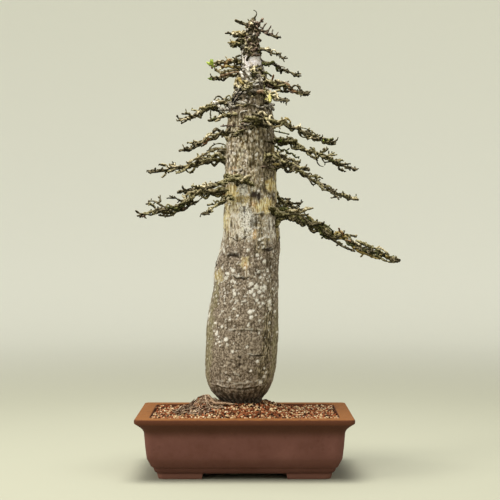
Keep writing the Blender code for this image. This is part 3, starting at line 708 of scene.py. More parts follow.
limbRule = {
    "seed": 410,
    "bendStep": 12.5 * mm,
    "bendSize": 4.2 * mm,
    "tipRadius": 1.9 * mm,
    "neckShare": 0.72,  # of the root radius, where a limb leaves the trunk
    "collarShare": 0.28,
    "collarReach": 9 * mm,
    "twigStep": 12.5 * mm,
    "shortestTwig": 7 * mm,
    "trunkClearance": 4 * mm,
}


def limbGuide(limb, share):
    radius, axis = trunkAxis(limb.height * mm)
    angle = math.radians(limb.azimuth + limb.turn * share * (2 - share))
    lift = 0.025 * limb.reach * mm * math.sin(math.pi * min(1, 2.2 * share))
    sag = limb.drop * mm * (0.4 * share + 0.6 * float(ease(share)))
    out = radius + limb.reach * mm * share
    return axis + out * np.array((math.cos(angle), math.sin(angle), 0)) + (lift - sag) * up


def limbKnuckles(limb, rng):
    # the even line of a limb with a zigzag laid on it, as in the solids
    length = travelledAlong([limbGuide(limb, n / 20) for n in range(21)])[-1]
    count = max(4, round(length / limbRule["bendStep"]))
    bends = []
    for number in range(1, count + 1):
        share = number / count
        ahead = unit(limbGuide(limb, min(1, share + 0.02)) - limbGuide(limb, share - 0.02))
        side = unit(np.cross(up, ahead))
        size = limbRule["bendSize"] * rng.uniform(0.35, 1) * math.sin(math.pi * min(share, 0.85)) ** 0.5
        turn = math.pi * number + rng.uniform(-1.1, 1.1)
        swing = size * (math.cos(turn) * side + math.sin(turn) * np.cross(side, ahead))
        bends.append(limbGuide(limb, share) + swing * (number < count))
    return bends


def limbRoute(number, limb):
    # a limb's knuckles from in the trunk to its tip, its radius at each, and the knuckle its bough ends at
    root = limb.root * mm
    seat, outward = trunkSkin(np.array(math.radians(limb.azimuth)), np.array(limb.height * mm))
    neck = seat + max(2.5 * mm, 0.6 * root) * outward
    spare = 1.6 * np.linalg.norm(neck - seat)
    bends = limbKnuckles(limb, random.Random(limbRule["seed"] + number))
    bends = [seat, neck] + [bend for bend in bends if np.linalg.norm(bend - seat) > spare]
    travelled = travelledAlong(bends)
    share = travelled / travelled[-1]
    tip = limbRule["tipRadius"]
    collar = limbRule["collarShare"] * root * np.exp(-travelled / limbRule["collarReach"])
    radii = tip + (limbRule["neckShare"] * root - tip) * (1 - share) ** 0.8 + collar
    first = max(2, round(limb.bough * (len(bends) - 1))) if limb.bough else 0
    sunk = seat - 0.9 * root * outward
    return np.array([sunk] + bends), np.append(1.25 * root, radii), first + 1 if first else 0


# What the limbs are dressed with. Lengths are in mm
limbLook = {
    "boughShare": 0.84,  # of the solid's radius, as the strands round it make up the rest
    "stemShare": 0.52,
    "stemSides": 12,
    "ringStep": 1.8,
    "knobs": 0.3,
    "knobSize": 4.5,
    "strandEvery": 8.2,
    "strandSpan": (16, 46),
    "strandRadius": (2.3, 3.7),
    "strandSides": 7,
    "strandShake": 2.2,
    "looped": 0.46,  # of the strands stand off in an open loop
    # how far strands stand off, in radii of limb and strand together, and how far they wind round it
    "loop": ((1.8, 2.8), (0.6, 2.6)),
    "close": ((0.8, 1.3), (0.6, 4.2)),
    "farthestOff": 12,
    "twigRadius": (2.6, 1.7),
    "twigSides": 6,
    "twigSwing": (35, 62),  # degrees
    "twigletEvery": 12,
    "spurEvery": 16,
    "spurLength": (1.5, 5.0),
    "tipFrom": 0.62,
}
# Colours of wood, dark to light, each dealt out by piece
woodTones = {
    "dark": ((0.013, 0.011, 0.002), (0.045, 0.037, 0.013), (0.26, 0.215, 0.13)),
    "olive": ((0.026, 0.022, 0.004), (0.13, 0.108, 0.036), (0.52, 0.46, 0.26)),
    "tan": ((0.08, 0.06, 0.02), (0.41, 0.33, 0.175), (0.92, 0.83, 0.57)),
    "ochre": ((0.09, 0.06, 0.01), (0.34, 0.25, 0.075), (0.68, 0.55, 0.26)),
    "rust": ((0.05, 0.022, 0.006), (0.26, 0.135, 0.055), (0.56, 0.37, 0.2)),
    "moss": ((0.016, 0.019, 0.004), (0.06, 0.064, 0.018), (0.24, 0.235, 0.09)),
    "ash": ((0.045, 0.036, 0.024), (0.23, 0.195, 0.145), (0.7, 0.65, 0.55)),
    "umber": ((0.022, 0.012, 0.007), (0.1, 0.064, 0.042), (0.4, 0.3, 0.22)),
}
# and those of single strands that stand out
accentTones = {
    "pale": ((0.16, 0.13, 0.085), (0.62, 0.57, 0.47), (0.95, 0.93, 0.86)),
    "peach": ((0.1, 0.05, 0.02), (0.46, 0.29, 0.17), (0.82, 0.63, 0.44)),
    "soot": ((0.006, 0.005, 0.004), (0.014, 0.011, 0.009), (0.05, 0.04, 0.035)),
}
allTones = woodTones | accentTones
usualShares = {"dark": 0.32, "olive": 0.38, "tan": 0.26, "ochre": 0.02, "moss": 0.02}
ownShares = {
    "low_right": {"dark": 0.38, "olive": 0.2, "tan": 0.08, "ochre": 0.12, "rust": 0.06, "moss": 0.16},
    "shoulder_right": {"dark": 0.44, "olive": 0.08, "tan": 0.1, "rust": 0.24, "umber": 0.14},
    "high_right": {"dark": 0.28, "olive": 0.34, "tan": 0.34, "ochre": 0.02, "moss": 0.02},
    "crest_left": {"dark": 0.28, "olive": 0.2, "tan": 0.2, "ochre": 0.28, "rust": 0.04},
    "crest_left_low": {"dark": 0.3, "olive": 0.2, "tan": 0.16, "ochre": 0.24, "moss": 0.1},
    "crest_right": {"dark": 0.45, "umber": 0.55},
    "neck_left": {"dark": 0.22, "olive": 0.12, "tan": 0.36, "ochre": 0.18, "rust": 0.12},
    "neck_right": {"dark": 0.5, "olive": 0.18, "moss": 0.28, "ash": 0.04},
    "mid_left": {"dark": 0.26, "olive": 0.3, "tan": 0.4, "ochre": 0.03, "moss": 0.01},
    "high_left": {"dark": 0.36, "olive": 0.28, "tan": 0.26, "pale": 0.1},
    "upper_mid_left": {"dark": 0.44, "olive": 0.26, "tan": 0.16, "moss": 0.06, "rust": 0.08},
    "front_right": {"dark": 0.66, "olive": 0.24, "umber": 0.1},
    "low_left": {"dark": 0.44, "olive": 0.26, "tan": 0.2, "umber": 0.06, "moss": 0.04},
}
stemTones = {"crest_right": "umber", "tip_left": "dark", "shoulder_right": "umber", "neck_right": "dark"}
# How many times the usual number of strands a limb has
fuller = {
    "crest_left": 0.5, "crest_left_low": 0.5, "tip_left": 0, "crest_right": 0, "neck_left": 1.6,
    "shoulder_right": 2.1, "low_right": 1.3, "front_right": 0.6, "neck_right": 0.5, "neck_front_right": 0.6,
    "high_left_front": 0.4, "front_left": 0.3, "mid_left": 0.75, "mid_right": 0.75,
}
# How many strands tie a limb's root to the trunk, where there are fewer than usual
bareRoots = {"low_left_front": 0, "low_left": 2, "front_right": 2, "mid_right": 2}
# Limbs whose twigs stay shorter than in the solids, so that the crown keeps its gaps
shorter = {"low_back": 0.5}
# How much likelier each tone is on top of a limb, beneath it and towards its tip
# light tones on top and dark ones beneath are partly painted highlight and shade
litTopTones = {"dark": 0.4, "olive": 0.9, "tan": 2.1, "ochre": 1.5, "rust": 1.2, "moss": 0.5, "pale": 2.0}
shadedUnderTones = {"dark": 2.0, "tan": 0.3, "ochre": 0.5, "rust": 0.8, "moss": 1.8, "pale": 0.4, "umber": 1.5}
tipTones = {"dark": 2.2, "tan": 0.4, "ochre": 0.5, "moss": 1.5, "pale": 0.2, "umber": 1.5}


class Wood:
    # every strand, twig and spur of the crown, kept apart by kind and tone
    def __init__(self):
        self.bundles = {}
        self.perches = []  # places that spurs can stand on: point, way ahead, radius and tone

    def bundle(self, kind, tone):
        return self.bundles.setdefault((kind, tone), Bundle())

    def add(self, kind, tone, line, radii, sides):
        addTubes(self.bundle(kind, tone), line[None], radii[None], sides, knobs=limbLook["knobs"],
                 knobSize=limbLook["knobSize"] * mm)

    def addSpurs(self, tones, start, way, length, curl, share, thick, sides, knobs=0):
        # many short stubs at once, each from its start along its way and curling off
        share = np.array(share)[None, :, None]
        lines = start[:, None] + (way[:, None] * share + curl[:, None] * share**2) * length[:, None]
        for tone in allTones:
            own = tones == tone
            if own.any():
                addTubes(self.bundle("spur", tone), lines[own], thick[own], sides, knobs=knobs)

    def perch(self, line, radii, every, tone, rng, outerTone=None):
        ahead = unit(np.gradient(line, axis=0))
        travelled = travelledAlong(line)
        place = rng.uniform(0.2, 1) * every
        while place < travelled[-1]:
            n = int(np.searchsorted(travelled, place))
            outer = outerTone and n > limbLook["tipFrom"] * len(line)
            self.perches.append(((*line[n], *ahead[n], radii[n]), outerTone if outer else tone))
            place += every * rng.uniform(0.6, 1.4)


def beaded(line, radii, rng, size, depth):
    # the radii with swellings at uneven spaces along the line, size in mm
    phase = np.full((len(line), 3), rng.uniform(0, 50))
    phase[:, 0] += travelledAlong(line) / (size * mm)
    return radii * (1 + depth * roughNoise(phase, 1.0, 3, 2))


def beadedLine(bends, radii, rng, size, depth, step=1.9):
    line, radii = roundedLine(bends, radii, step * mm)
    return line, beaded(line, radii, rng, size, depth)


def pickTone(shares, rng, likelier):
    return rng.choices(list(shares), [share * likelier.get(tone, 1) for tone, share in shares.items()])[0]


def strandAlong(line, radii, begin, end, size, rng):
    # a strand that leaves a limb's skin, winds round the limb and grows back into it further on, and whether
    # it lies over or under the limb
    _, across, square = (frameOf[0] for frameOf in lineFrames(line[None]))
    count = max(4, round((end - begin) * limbLook["ringStep"] / 7))
    picks = np.linspace(begin, end, count).round().astype(int)
    share = np.linspace(0, 1, count)
    own = rng.uniform(*limbLook["strandRadius"]) * mm * (0.62 + 0.38 * min(1, radii[begin] / (5 * mm))) * size
    loose = rng.random() < limbLook["looped"] * size and begin < limbLook["tipFrom"] * len(line)
    lifts, turns = limbLook["loop" if loose else "close"]
    lift = rng.uniform(*lifts)
    start = rng.uniform(0, 2 * math.pi)
    turn = start + rng.choice((-1, 1)) * rng.uniform(*turns) * share
    out = np.minimum((radii[picks] + own) * lift, limbLook["farthestOff"] * mm)
    out = out * np.sin(math.pi * share) ** 0.6
    around = np.cos(turn)[:, None] * across[picks] + np.sin(turn)[:, None] * square[picks]
    bends = line[picks] + out[:, None] * around
    shake = np.array([[rng.uniform(-1, 1) for _ in range(3)] for _ in picks])
    bends[1:-1] += shake[1:-1] * limbLook["strandShake"] * mm
    return bends, own * (1 - 0.25 * share), np.mean(bends[:, 2] - line[picks, 2])


def dressStem(wood, limb, number, bends, radii, first):
    # the limb itself: its bare bough and its stem onwards, then the strands that wind round it
    rng = random.Random(limbRule["seed"] * 3 + number)
    shares = ownShares.get(limb.name, usualShares)
    step = limbLook["ringStep"] * mm
    sides = limbLook["stemSides"]
    knuckle = np.arange(len(bends))
    slimming = limbLook["boughShare"] - limbLook["stemShare"]
    fullness = fuller.get(limb.name, 1)
    kept = limbLook["boughShare"] - slimming * ease((knuckle - first - 1) / 3) * (fullness > 0)
    line, thick = roundedLine(bends, radii * kept, step)
    thick = beaded(line, np.maximum(thick, 1.3 * mm), rng, 8, 0.3)
    parting = int(np.argmin(np.linalg.norm(line - bends[first], axis=1))) if first else 0
    if first:
        wood.add("bough", "olive", line[: parting + 3], thick[: parting + 3], sides)
    turning = max(parting, round(limbLook["tipFrom"] * len(line)))
    stem = slice(parting, turning + 2)
    wood.add("stem", stemTones.get(limb.name, "olive"), line[stem], thick[stem], sides)
    wood.add("stem", "dark", line[turning:], thick[turning:], sides)
    wood.perch(line[6:], thick[6:], limbLook["spurEvery"] * mm, pickTone(shares, rng, {}), rng, "dark")
    size = min(1, 0.5 + 0.07 * limb.root)
    every = limbLook["strandEvery"] * mm / max(fullness, 0.1)
    place = 2 if fullness else len(line)
    while place < len(line) - 8:
        span = rng.uniform(*limbLook["strandSpan"]) * mm * (0.6 + 0.4 * min(1, thick[place] / (4 * mm)))
        end = min(len(line) - 1, place + round(span / step))
        path, own, over = strandAlong(line, thick, place, end, size, rng)
        # strands over the limb lean to light tones and those under it to dark ones, partly as painted
        # highlight and shade
        likelier = tipTones if place > turning else litTopTones if over > 0 else shadedUnderTones
        tone = pickTone(shares, rng, likelier)
        strand, own = beadedLine(path, own, rng, 5, 0.38)
        wood.add("strand", tone, strand, own, limbLook["strandSides"])
        wood.perch(strand, own, 1.5 * limbLook["spurEvery"] * mm, tone, rng)
        place += max(1, round(every * rng.uniform(0.5, 1.5) / step))


def twigBends(start, way, length, rng):
    # steps that swing to either side in turn and tip slowly upwards, as in the solids
    points = [start]
    side = unit(np.cross(up, way))
    count = max(2, round(length / limbRule["twigStep"]))
    for number in range(count):
        swing = (0.45 if number % 2 else -0.45) * rng.uniform(0.5, 1.2)
        ahead = unit(way + swing * side + rng.uniform(-0.25, 0.35) * up)
        points.append(points[-1] + ahead * length / count)
    return points


def standsClear(points):
    points = np.array(points)
    radius, axis = trunkAxis(points[:, 2] - trunk["ground"] * mm)
    away = np.hypot(points[:, 0] - axis[:, 0], points[:, 1] - axis[:, 1])
    return (away > radius + limbRule["trunkClearance"]).all()


def dressTwigs(wood, limb, number, bends, first):
    # the limb's side twigs by the solids' rule, carried to finer ones
    rng = random.Random(limbRule["seed"] * 7 + number)
    shares = ownShares.get(limb.name, usualShares)
    count = len(bends) - 1
    for knuckle in range(max(first, 2) + 1, count):
        along = (knuckle - first) / (count - first)
        fullness = math.sin(math.pi * (0.16 + 0.78 * along)) ** 0.8
        ahead = unit(bends[knuckle + 1] - bends[knuckle - 1])
        side = unit(np.cross(up, ahead))
        for hand in (1, -1) if knuckle % 4 == 0 else ((1,) if knuckle % 2 else (-1,)):
            swing = math.radians(rng.uniform(*limbLook["twigSwing"]))
            way = math.cos(swing) * ahead + hand * math.sin(swing) * side + rng.uniform(-0.5, 0.6) * up
            length = limb.spread * mm * fullness * rng.uniform(0.6, 1.05) * shorter.get(limb.name, 1)
            if length < limbRule["shortestTwig"]:
                continue
            points = twigBends(bends[knuckle], unit(way), length, rng)
            if not standsClear(points[1:]):
                continue
            likelier = tipTones if along > 0.5 else {}
            dressTwig(wood, points, shares, likelier, rng)
            if len(points) > 3:
                onward = unit(unit(points[3] - points[2]) + hand * 0.7 * ahead)
                fork = twigBends(points[2], onward, 0.5 * length, rng)
                if standsClear(fork[1:]):
                    dressTwig(wood, fork, shares, likelier, rng)


def dressTwig(wood, points, shares, likelier, rng):
    radii = np.linspace(*limbLook["twigRadius"], len(points)) * mm
    line, radii = beadedLine(np.array(points), radii, rng, 4.5, 0.42, 2.1)
    tone = pickTone(shares, rng, likelier)
    wood.add("twig", tone, line, radii, limbLook["twigSides"])
    wood.perch(line[2:], radii[2:], limbLook["twigletEvery"] * mm, tone, rng)


def growSpurs(wood):
    # short stubs on every perch, upright, hanging or leaning on, each ending in a bud
    rng = np.random.default_rng(limbRule["seed"])
    places, tones = (np.array(column) for column in zip(*wood.perches))
    count = len(places)
    start, ahead, radius = places[:, :3], places[:, 3:6], places[:, 6]
    loose = rng.normal(size=(count, 3)) * (1, 1, 0.5) + up * rng.choice((1.5, 1.5, -1.0), size=(count, 1))
    square = unit(loose - np.sum(loose * ahead, axis=1, keepdims=True) * ahead)
    way = unit(square + 0.6 * rng.random((count, 1)) * ahead)
    length = rng.uniform(*limbLook["spurLength"], size=(count, 1)) * mm * rng.random((count, 1)) ** 0.4
    curl = rng.normal(size=(count, 3)) * 0.4
    thick = np.clip(0.75 * radius, 1.2 * mm, 2.2 * mm)[:, None] * np.array((1.15, 0.9, 0.85, 1.1, 0.7))
    wood.addSpurs(tones, start, way, length + radius[:, None], curl, (0, 0.3, 0.55, 0.8, 1.0), thick, 5)


# Strands that creep round the trunk where limbs crowd: height, from azimuth to azimuth, how many, how far
# they stray up and down, their thickest radius, in mm and degrees, and the shares of their tones
collars = (
    (571, 236, 330, 9, 5, 4.2, "brown"), (463, 168, 268, 7, 7, 4.4, "plain"),
    (552, 160, 205, 3, 6, 3.4, "plain"), (503, 140, 200, 4, 7, 3.4, "plain"),
    (490, -70, 24, 4, 7, 3.4, "murky"), (542, -60, 40, 5, 7, 3.6, "murky"),
    (437, 160, 198, 3, 6, 3.4, "plain"), (390, -50, 30, 5, 9, 4.6, "plain"),
    (640, 140, 420, 11, 10, 4.4, "grey"), (664, 140, 440, 12, 9, 4.2, "grey"),
    (683, 120, 430, 9, 4, 3.4, "grey"), (722, 100, 440, 12, 7, 3.8, "brown"),
    (744, 90, 450, 13, 9, 3.8, "brown"), (764, 90, 450, 12, 8, 3.2, "brown"),
    (779, 90, 450, 8, 5, 2.6, "brown"), (580, 30, 160, 6, 10, 4.2, "plain"),
    (520, 60, 150, 6, 12, 4.0, "plain"), (450, 50, 140, 6, 14, 4.0, "plain"),
    (612, 150, 400, 4, 10, 3.6, "grey"),
)
collarShares = {
    "plain": {"dark": 0.36, "olive": 0.32, "tan": 0.26, "ochre": 0.03, "rust": 0.01, "moss": 0.02},
    "grey": {"dark": 0.28, "olive": 0.1, "tan": 0.12, "ash": 0.4, "pale": 0.1},
    "murky": {"dark": 0.5, "umber": 0.26, "olive": 0.2, "tan": 0.04},
    "brown": {"dark": 0.26, "umber": 0.38, "ash": 0.18, "olive": 0.1, "tan": 0.08},
}
# Strands that run slantwise: from azimuth and height to azimuth and height, radius and tone
slants = (
    (296, 640, 318, 610, 2.6, "dark"), (318, 668, 290, 676, 3.0, "olive"), (196, 684, 350, 695, 1.4, "dark"),
    (204, 682, 240, 671, 3.6, "pale"), (250, 686, 270, 668, 4.0, "pale"), (268, 652, 300, 662, 4.6, "pale"),
    (292, 668, 312, 652, 3.0, "ash"), (240, 594, 262, 598, 2.2, "pale"), (216, 658, 241, 644, 3.0, "tan"),
    (230, 619, 260, 612, 2.2, "pale"), (196, 727, 234, 690, 3.0, "pale"), (256, 714, 242, 703, 3.2, "dark"),
    (219, 669, 230, 653, 3.4, "ochre"), (247, 648, 276, 641, 2.8, "dark"), (60, 650, 20, 676, 3.6, "tan"),
    (120, 668, 90, 640, 3.8, "pale"), (150, 636, 172, 662, 3.2, "olive"),
)
# Single strands that stand out among the rest: radius, tone, and across, height and behind at each bend
placed = (
    (1.8, "olive", ((-24, 621, 0), (-31, 631, 4), (-38, 629, 8), (-41, 617, 10))),
    (2.0, "dark", ((-41, 612, 8), (-47, 626, 6), (-55, 631, 8), (-62, 625, 10), (-67, 613, 10))),
    (2.8, "dark", ((-68, 606, 10), (-56, 601, 6), (-47, 594, 6), (-39, 592, 8), (-27, 585, 10))),
    (1.8, "olive", ((-52, 598, 6), (-54, 587, 6), (-62, 581, 8), (-69, 585, 10), (-71, 597, 10),
                    (-67, 608, 10))),
    (3.6, "tan", ((-30, 520, 5), (-53, 523, 2), (-70, 518, 4), (-86, 510, 10), (-101, 503, 18),
                  (-117, 495, 24))),
    (1.6, "olive", ((-32, 527, 3), (-51, 533, 0), (-66, 529, 2), (-78, 516, 8))),
    (1.7, "moss", ((58, 560, 8), (79, 555, 2), (91, 552, 0))),
    (2.4, "moss", ((58, 530, 6), (66, 526, 3), (75, 519, 0), (82, 520, -2), (90, 512, -2), (97, 513, 0),
                   (104, 505, 2), (112, 506, 4))),
    (1.2, "dark", ((149, 511, 44), (151, 497, 43), (157, 490, 44), (164, 488, 45))),
    (1.5, "olive", ((104, 563, -39), (119, 562, -33), (135, 557, -27), (152, 544, -19))),
    (2.0, "dark", ((58, 509, 4), (79, 504, 2), (88, 492, 4), (99, 482, 6))),
    (1.3, "dark", ((38, 700, 18), (62, 697, 20), (83, 692, 22))),
    (2.1, "tan", ((-36, 447, 2), (-57, 449, 0), (-72, 451, -2), (-84, 440, -4), (-94, 424, -4))),
    (2.0, "dark", ((-40, 433, 2), (-60, 429, -2), (-74, 433, -4), (-86, 423, -6), (-101, 410, -8))),
    (2.1, "dark", ((-7, 715, 8), (-17, 711, 0), (-21, 701, -3), (-19, 690, -2), (-8, 684, 4))),
    # near-black strands, with no lighter tops
    (1.8, "soot", ((-26, 618, -10), (-16, 633, -20), (-5, 648, -27))),
    (1.8, "soot", ((-22, 615, -16), (-8, 632, -26), (6, 648, -33))),
    (3.6, "pale", ((3, 680, -14), (9, 671, -17), (14, 663, -17))),
    (4.0, "peach", ((26, 635, -25), (34, 638, -24), (43, 634, -17), (53, 639, -8))),
    (3.2, "pale", ((-9, 678, -4), (-5, 671, -8), (-2, 665, -11))),
    (4.4, "pale", ((10, 654, -20), (19, 650, -23), (28, 650, -20))),
    (4.0, "ash", ((9, 642, -23), (18, 638, -26), (27, 637, -22))),
    (4.2, "tan", ((-12, 672, 8), (-18, 661, 6), (-20, 648, 5), (-21, 634, 3))),
    (3.4, "ochre", ((-13, 666, -3), (-8, 659, -9), (-2, 652, -14))),
    (3.4, "tan", ((-20, 655, -1), (-15, 650, -6), (-11, 647, -10))),
    (5.0, "ash", ((27, 671, -13), (32, 662, -16), (34, 650, -15))),
    (4.2, "pale", ((-67, 613, 4), (-60, 617, 2), (-54, 615, 4))),
    (3.6, "pale", ((-55, 611, 2), (-50, 606, 0), (-47, 600, 2))),
    (3.8, "ash", ((-47, 604, 2), (-40, 602, 0), (-34, 603, -2))),
    (1.6, "umber", ((-50, 569, 4), (-34, 569, -6), (-18, 567, -25), (4, 559, -35))),
    (3.5, "tan", ((-60, 686, 8), (-49, 679, 6), (-37, 682, 4), (-24, 684, 4), (-10, 686, 6))),
    (4.0, "ochre", ((-47, 690, 6), (-36, 692, 2), (-24, 690, 2), (-9, 691, 5))),
    (3.2, "peach", ((-50, 674, 8), (-38, 676, 6), (-26, 679, 4), (-12, 681, 6))),
    (2.6, "dark", ((-96, 414, -6), (-108, 410, -9), (-122, 398, -8), (-138, 393, -12), (-150, 385, -14),
                   (-164, 384, -16), (-176, 386, -18))),
    (2.2, "olive", ((-128, 410, -10), (-142, 404, -12), (-159, 394, -14), (-175, 391, -16),
                    (-190, 386, -18))),
    (2.0, "tan", ((-116, 418, -8), (-122, 407, -12), (-131, 398, -10))),
    (2.0, "dark", ((-140, 408, -10), (-146, 398, -14), (-152, 388, -14))),
    (1.8, "umber", ((-158, 398, -14), (-162, 390, -16), (-170, 384, -16))),
    (2.8, "dark", ((12, 770, 12), (5, 775, 8), (-2, 779, 6), (-9, 783, 6), (-15, 786, 6), (-20, 787, 8))),
    (2.1, "umber", ((35, 767, 12), (40, 776, 10), (45, 782, 10))),
    (1.9, "umber", ((47, 762, 10), (50, 769, 8), (54, 776, 8))),
    (1.4, "umber", ((58, 756, 10), (56, 763, 8), (58, 769, 8))),
    (1.4, "umber", ((65, 753, 10), (66, 759, 9), (69, 763, 9))),
    (2.6, "umber", ((28, 780, 10), (34, 786, 8), (38, 791, 8))),
    (6.6, "moss", ((58, 393, 4), (80, 398, -2), (95, 392, -6), (113, 380, -8))),
    (6.2, "dark", ((56, 377, 4), (85, 384, -4), (102, 377, -8), (121, 364, -10))),
    (3.6, "tan", ((84, 394, -8), (104, 395, -12), (116, 392, -14), (126, 398, -16), (140, 400, -18))),
    (1.9, "dark", ((88, 386, -12), (104, 388, -16), (118, 385, -17), (131, 388, -18))),
    (3.4, "dark", ((144, 358, -16), (164, 347, -20), (178, 337, -22), (192, 326, -26), (208, 318, -30),
                   (224, 312, -34))),
    (4.6, "dark", ((131, 364, -14), (140, 352, -16), (151, 356, -18))),
    (2.8, "moss", ((30, 680, 6), (46, 678, 4), (55, 672, 6))),
    (3.0, "ochre", ((214, 326, -30), (228, 315, -32), (243, 308, -35), (258, 301, -38), (272, 297, -40))),
    (3.0, "olive", ((226, 334, -33), (240, 328, -36), (254, 321, -39), (268, 316, -42), (280, 309, -44))),
    (2.6, "olive", ((256, 306, -38), (270, 301, -41), (284, 293, -44), (297, 290, -46), (309, 291, -48))),
    (2.2, "tan", ((262, 318, -40), (274, 319, -42), (285, 311, -44), (292, 305, -46))),
    (3.2, "moss", ((118, 376, -12), (131, 366, -14), (144, 360, -18), (157, 348, -20))),
)
# Thick curls at the crest and the lowest left limb: middle and half sizes across, in height and behind, in
# mm, how many and the tones from the top down
# the lighter tones on top and darker ones beneath are partly painted highlight and shade
clumps = (
    ((-13, 759, 12), (13, 6, 9), 34, ("ochre", "tan", "olive")),
    ((-6, 744, 12), (12, 13, 10), 46, ("olive", "dark", "moss")),
    ((-21, 737, 10), (11, 6, 8), 26, ("ochre", "olive", "dark")),
    ((20, 777, 10), (10, 11, 9), 34, ("umber", "umber", "dark")),
    ((-160, 392, -15), (20, 8, 10), 24, ("tan", "olive", "dark")),
    ((-130, 399, -9), (15, 8, 9), 15, ("tan", "umber", "olive")),
)
# The curl that the trunk's tip ends in: sideways and up from the tip, and radius, in mm
leader = (
    (0, -4, 4.6), (0.3, 1, 4.8), (0.8, 4.5, 3.6), (5.0, 9, 1.9), (8.2, 14.5, 1.3), (7.8, 19.3, 1.2),
    (5, 22.4, 1.1), (2.2, 22.9, 1.0),
)
leaderTwigs = (18, 160, 200, 262, 330)  # which way they point, in degrees
# Stubs crowded on the narrow upper trunk
knobRule = {
    "count": 330,
    "heights": (602, 784),
    "brownFrom": 712,
    "woundHeight": 702,
    "woundReach": 19,
    "length": (3, 8),
    "radius": (1.9, 4.0),
}


def fromGround(place):
    # across, height above the soil and behind, in mm, as a point or points
    across, height, behind = np.array(place, dtype=float).T * mm
    return np.stack([across, behind, height + trunk["ground"] * mm], axis=-1)


def randomWay(rng, middle=0, rise=1):
    return unit(np.array([rng.gauss(middle, 1), rng.gauss(0, 1), rng.gauss(0, rise)]))


def addSkinStrand(wood, turn, level, own, lift, tone, rng):
    # a strand over the trunk's skin, both its ends sunk in
    skin, outward = trunkSkin(turn, level)
    lift = own * np.array([rng.uniform(*lift) for _ in turn])
    lift[[0, -1]] = -0.8 * own
    bends = skin + outward * lift[:, None]
    line, radii = beadedLine(bends, own * np.linspace(1, 0.75, len(turn)), rng, 5, 0.36)
    wood.add("strand", tone, line, radii, limbLook["strandSides"])
    if tone in woodTones:
        wood.perch(line, radii, 3 * limbLook["spurEvery"] * mm, tone, rng)


def growPlaced(wood):
    rng = random.Random(limbRule["seed"] * 13)
    for radius, tone, bends in placed:
        line, radii = roundedLine(fromGround(bends), radius * mm * np.linspace(1, 0.7, len(bends)), 1.8 * mm)
        wood.add("strand", tone, line, beaded(line, radii, rng, 5, 0.34), 8 if radius < 5 else 14)
        if tone in woodTones:
            wood.perch(line, radii, limbLook["spurEvery"] * mm, tone, rng)


def growClumps(wood):
    rng = random.Random(limbRule["seed"] * 17)
    share = np.linspace(-0.5, 0.5, 4)[:, None]
    for middle, half, count, tones in clumps:
        for _ in range(count):
            place = randomWay(rng) * rng.uniform(0.3, 0.85)
            way = randomWay(rng, -0.6, 0.5)
            curve = (way * share + randomWay(rng) * share**2) * rng.uniform(7, 15) * mm
            path = fromGround(middle) + place * np.array(half)[[0, 2, 1]] * mm + curve
            radii = np.linspace(1.2, 0.8, 4) * rng.uniform(1.4, 2.3) * mm
            # curls high in the clump take the lighter tones and low ones the darker, partly as painted
            # highlight and shade
            depth = min(2, max(0, round(1 - 1.5 * place[2] + rng.uniform(-0.5, 0.5))))
            wood.add("strand", tones[depth], *beadedLine(path, radii, rng, 4, 0.4, 1.8), 7)


def growCollars(wood):
    rng = random.Random(limbRule["seed"] * 5)
    for startTurn, startLevel, endTurn, endLevel, radius, tone in slants:
        turn = np.radians(np.linspace(startTurn, endTurn, 6))
        level = np.linspace(startLevel, endLevel, 6) * mm
        addSkinStrand(wood, turn, level, radius * mm, (0.8, 1.1), tone, rng)
    for height, start, end, count, stray, radius, kind in collars:
        for _ in range(count):
            width = rng.uniform(26, 75)
            begin = rng.uniform(start, max(start, end - width))
            own = radius * rng.uniform(0.55, 1) * mm
            middle = (height + rng.uniform(-1, 1) * stray) * mm
            around = float(trunkAt(np.array(middle))[0])
            steps = max(5, round(math.radians(width) * around / (7 * mm)))
            turn = np.radians(np.linspace(begin, begin + width, steps))
            wander = np.array([rng.uniform(-0.5, 0.5) for _ in turn]) * min(stray, 7) * mm
            tone = pickTone(collarShares[kind], rng, {})
            addSkinStrand(wood, turn, middle + wander, own, (-0.1, 1.0), tone, rng)


def growRoots(wood, limb, number, bends):
    # strands that tie a limb's root to the trunk round it
    rng = random.Random(limbRule["seed"] * 9 + number)
    root = limb.root * mm
    around = float(trunkAt(np.array(limb.height * mm))[0])
    for _ in range(bareRoots.get(limb.name, 3 if limb.root < 6 else 5)):
        way = rng.uniform(0, 2 * math.pi)
        spread = np.array((1.0, 1.25, 1.7, 2.3)) * rng.uniform(0.8, 1.2) * root + 2 * mm
        turn = math.radians(limb.azimuth) + np.cos(way) * spread / around
        skin, outward = trunkSkin(turn, limb.height * mm + np.sin(way) * spread)
        own = max(1.5 * mm, root * rng.uniform(0.3, 0.46))
        sideways = unit(skin[0] - bends[1])
        start = bends[3] + 0.4 * root * sideways
        neck = bends[2] + 0.75 * root * sideways
        lift = np.array((0.6, 0.4, 0.1, -0.9))[:, None] * own
        path = np.vstack([start, neck, skin + outward * lift])
        line, radii = beadedLine(path, own * np.array((0.6, 0.9, 1.1, 1, 0.8, 0.6)), rng, 5, 0.32)
        tone = pickTone(collarShares["grey" if limb.height > 600 else "plain"], rng, {})
        wood.add("strand", tone, line, radii, limbLook["strandSides"])


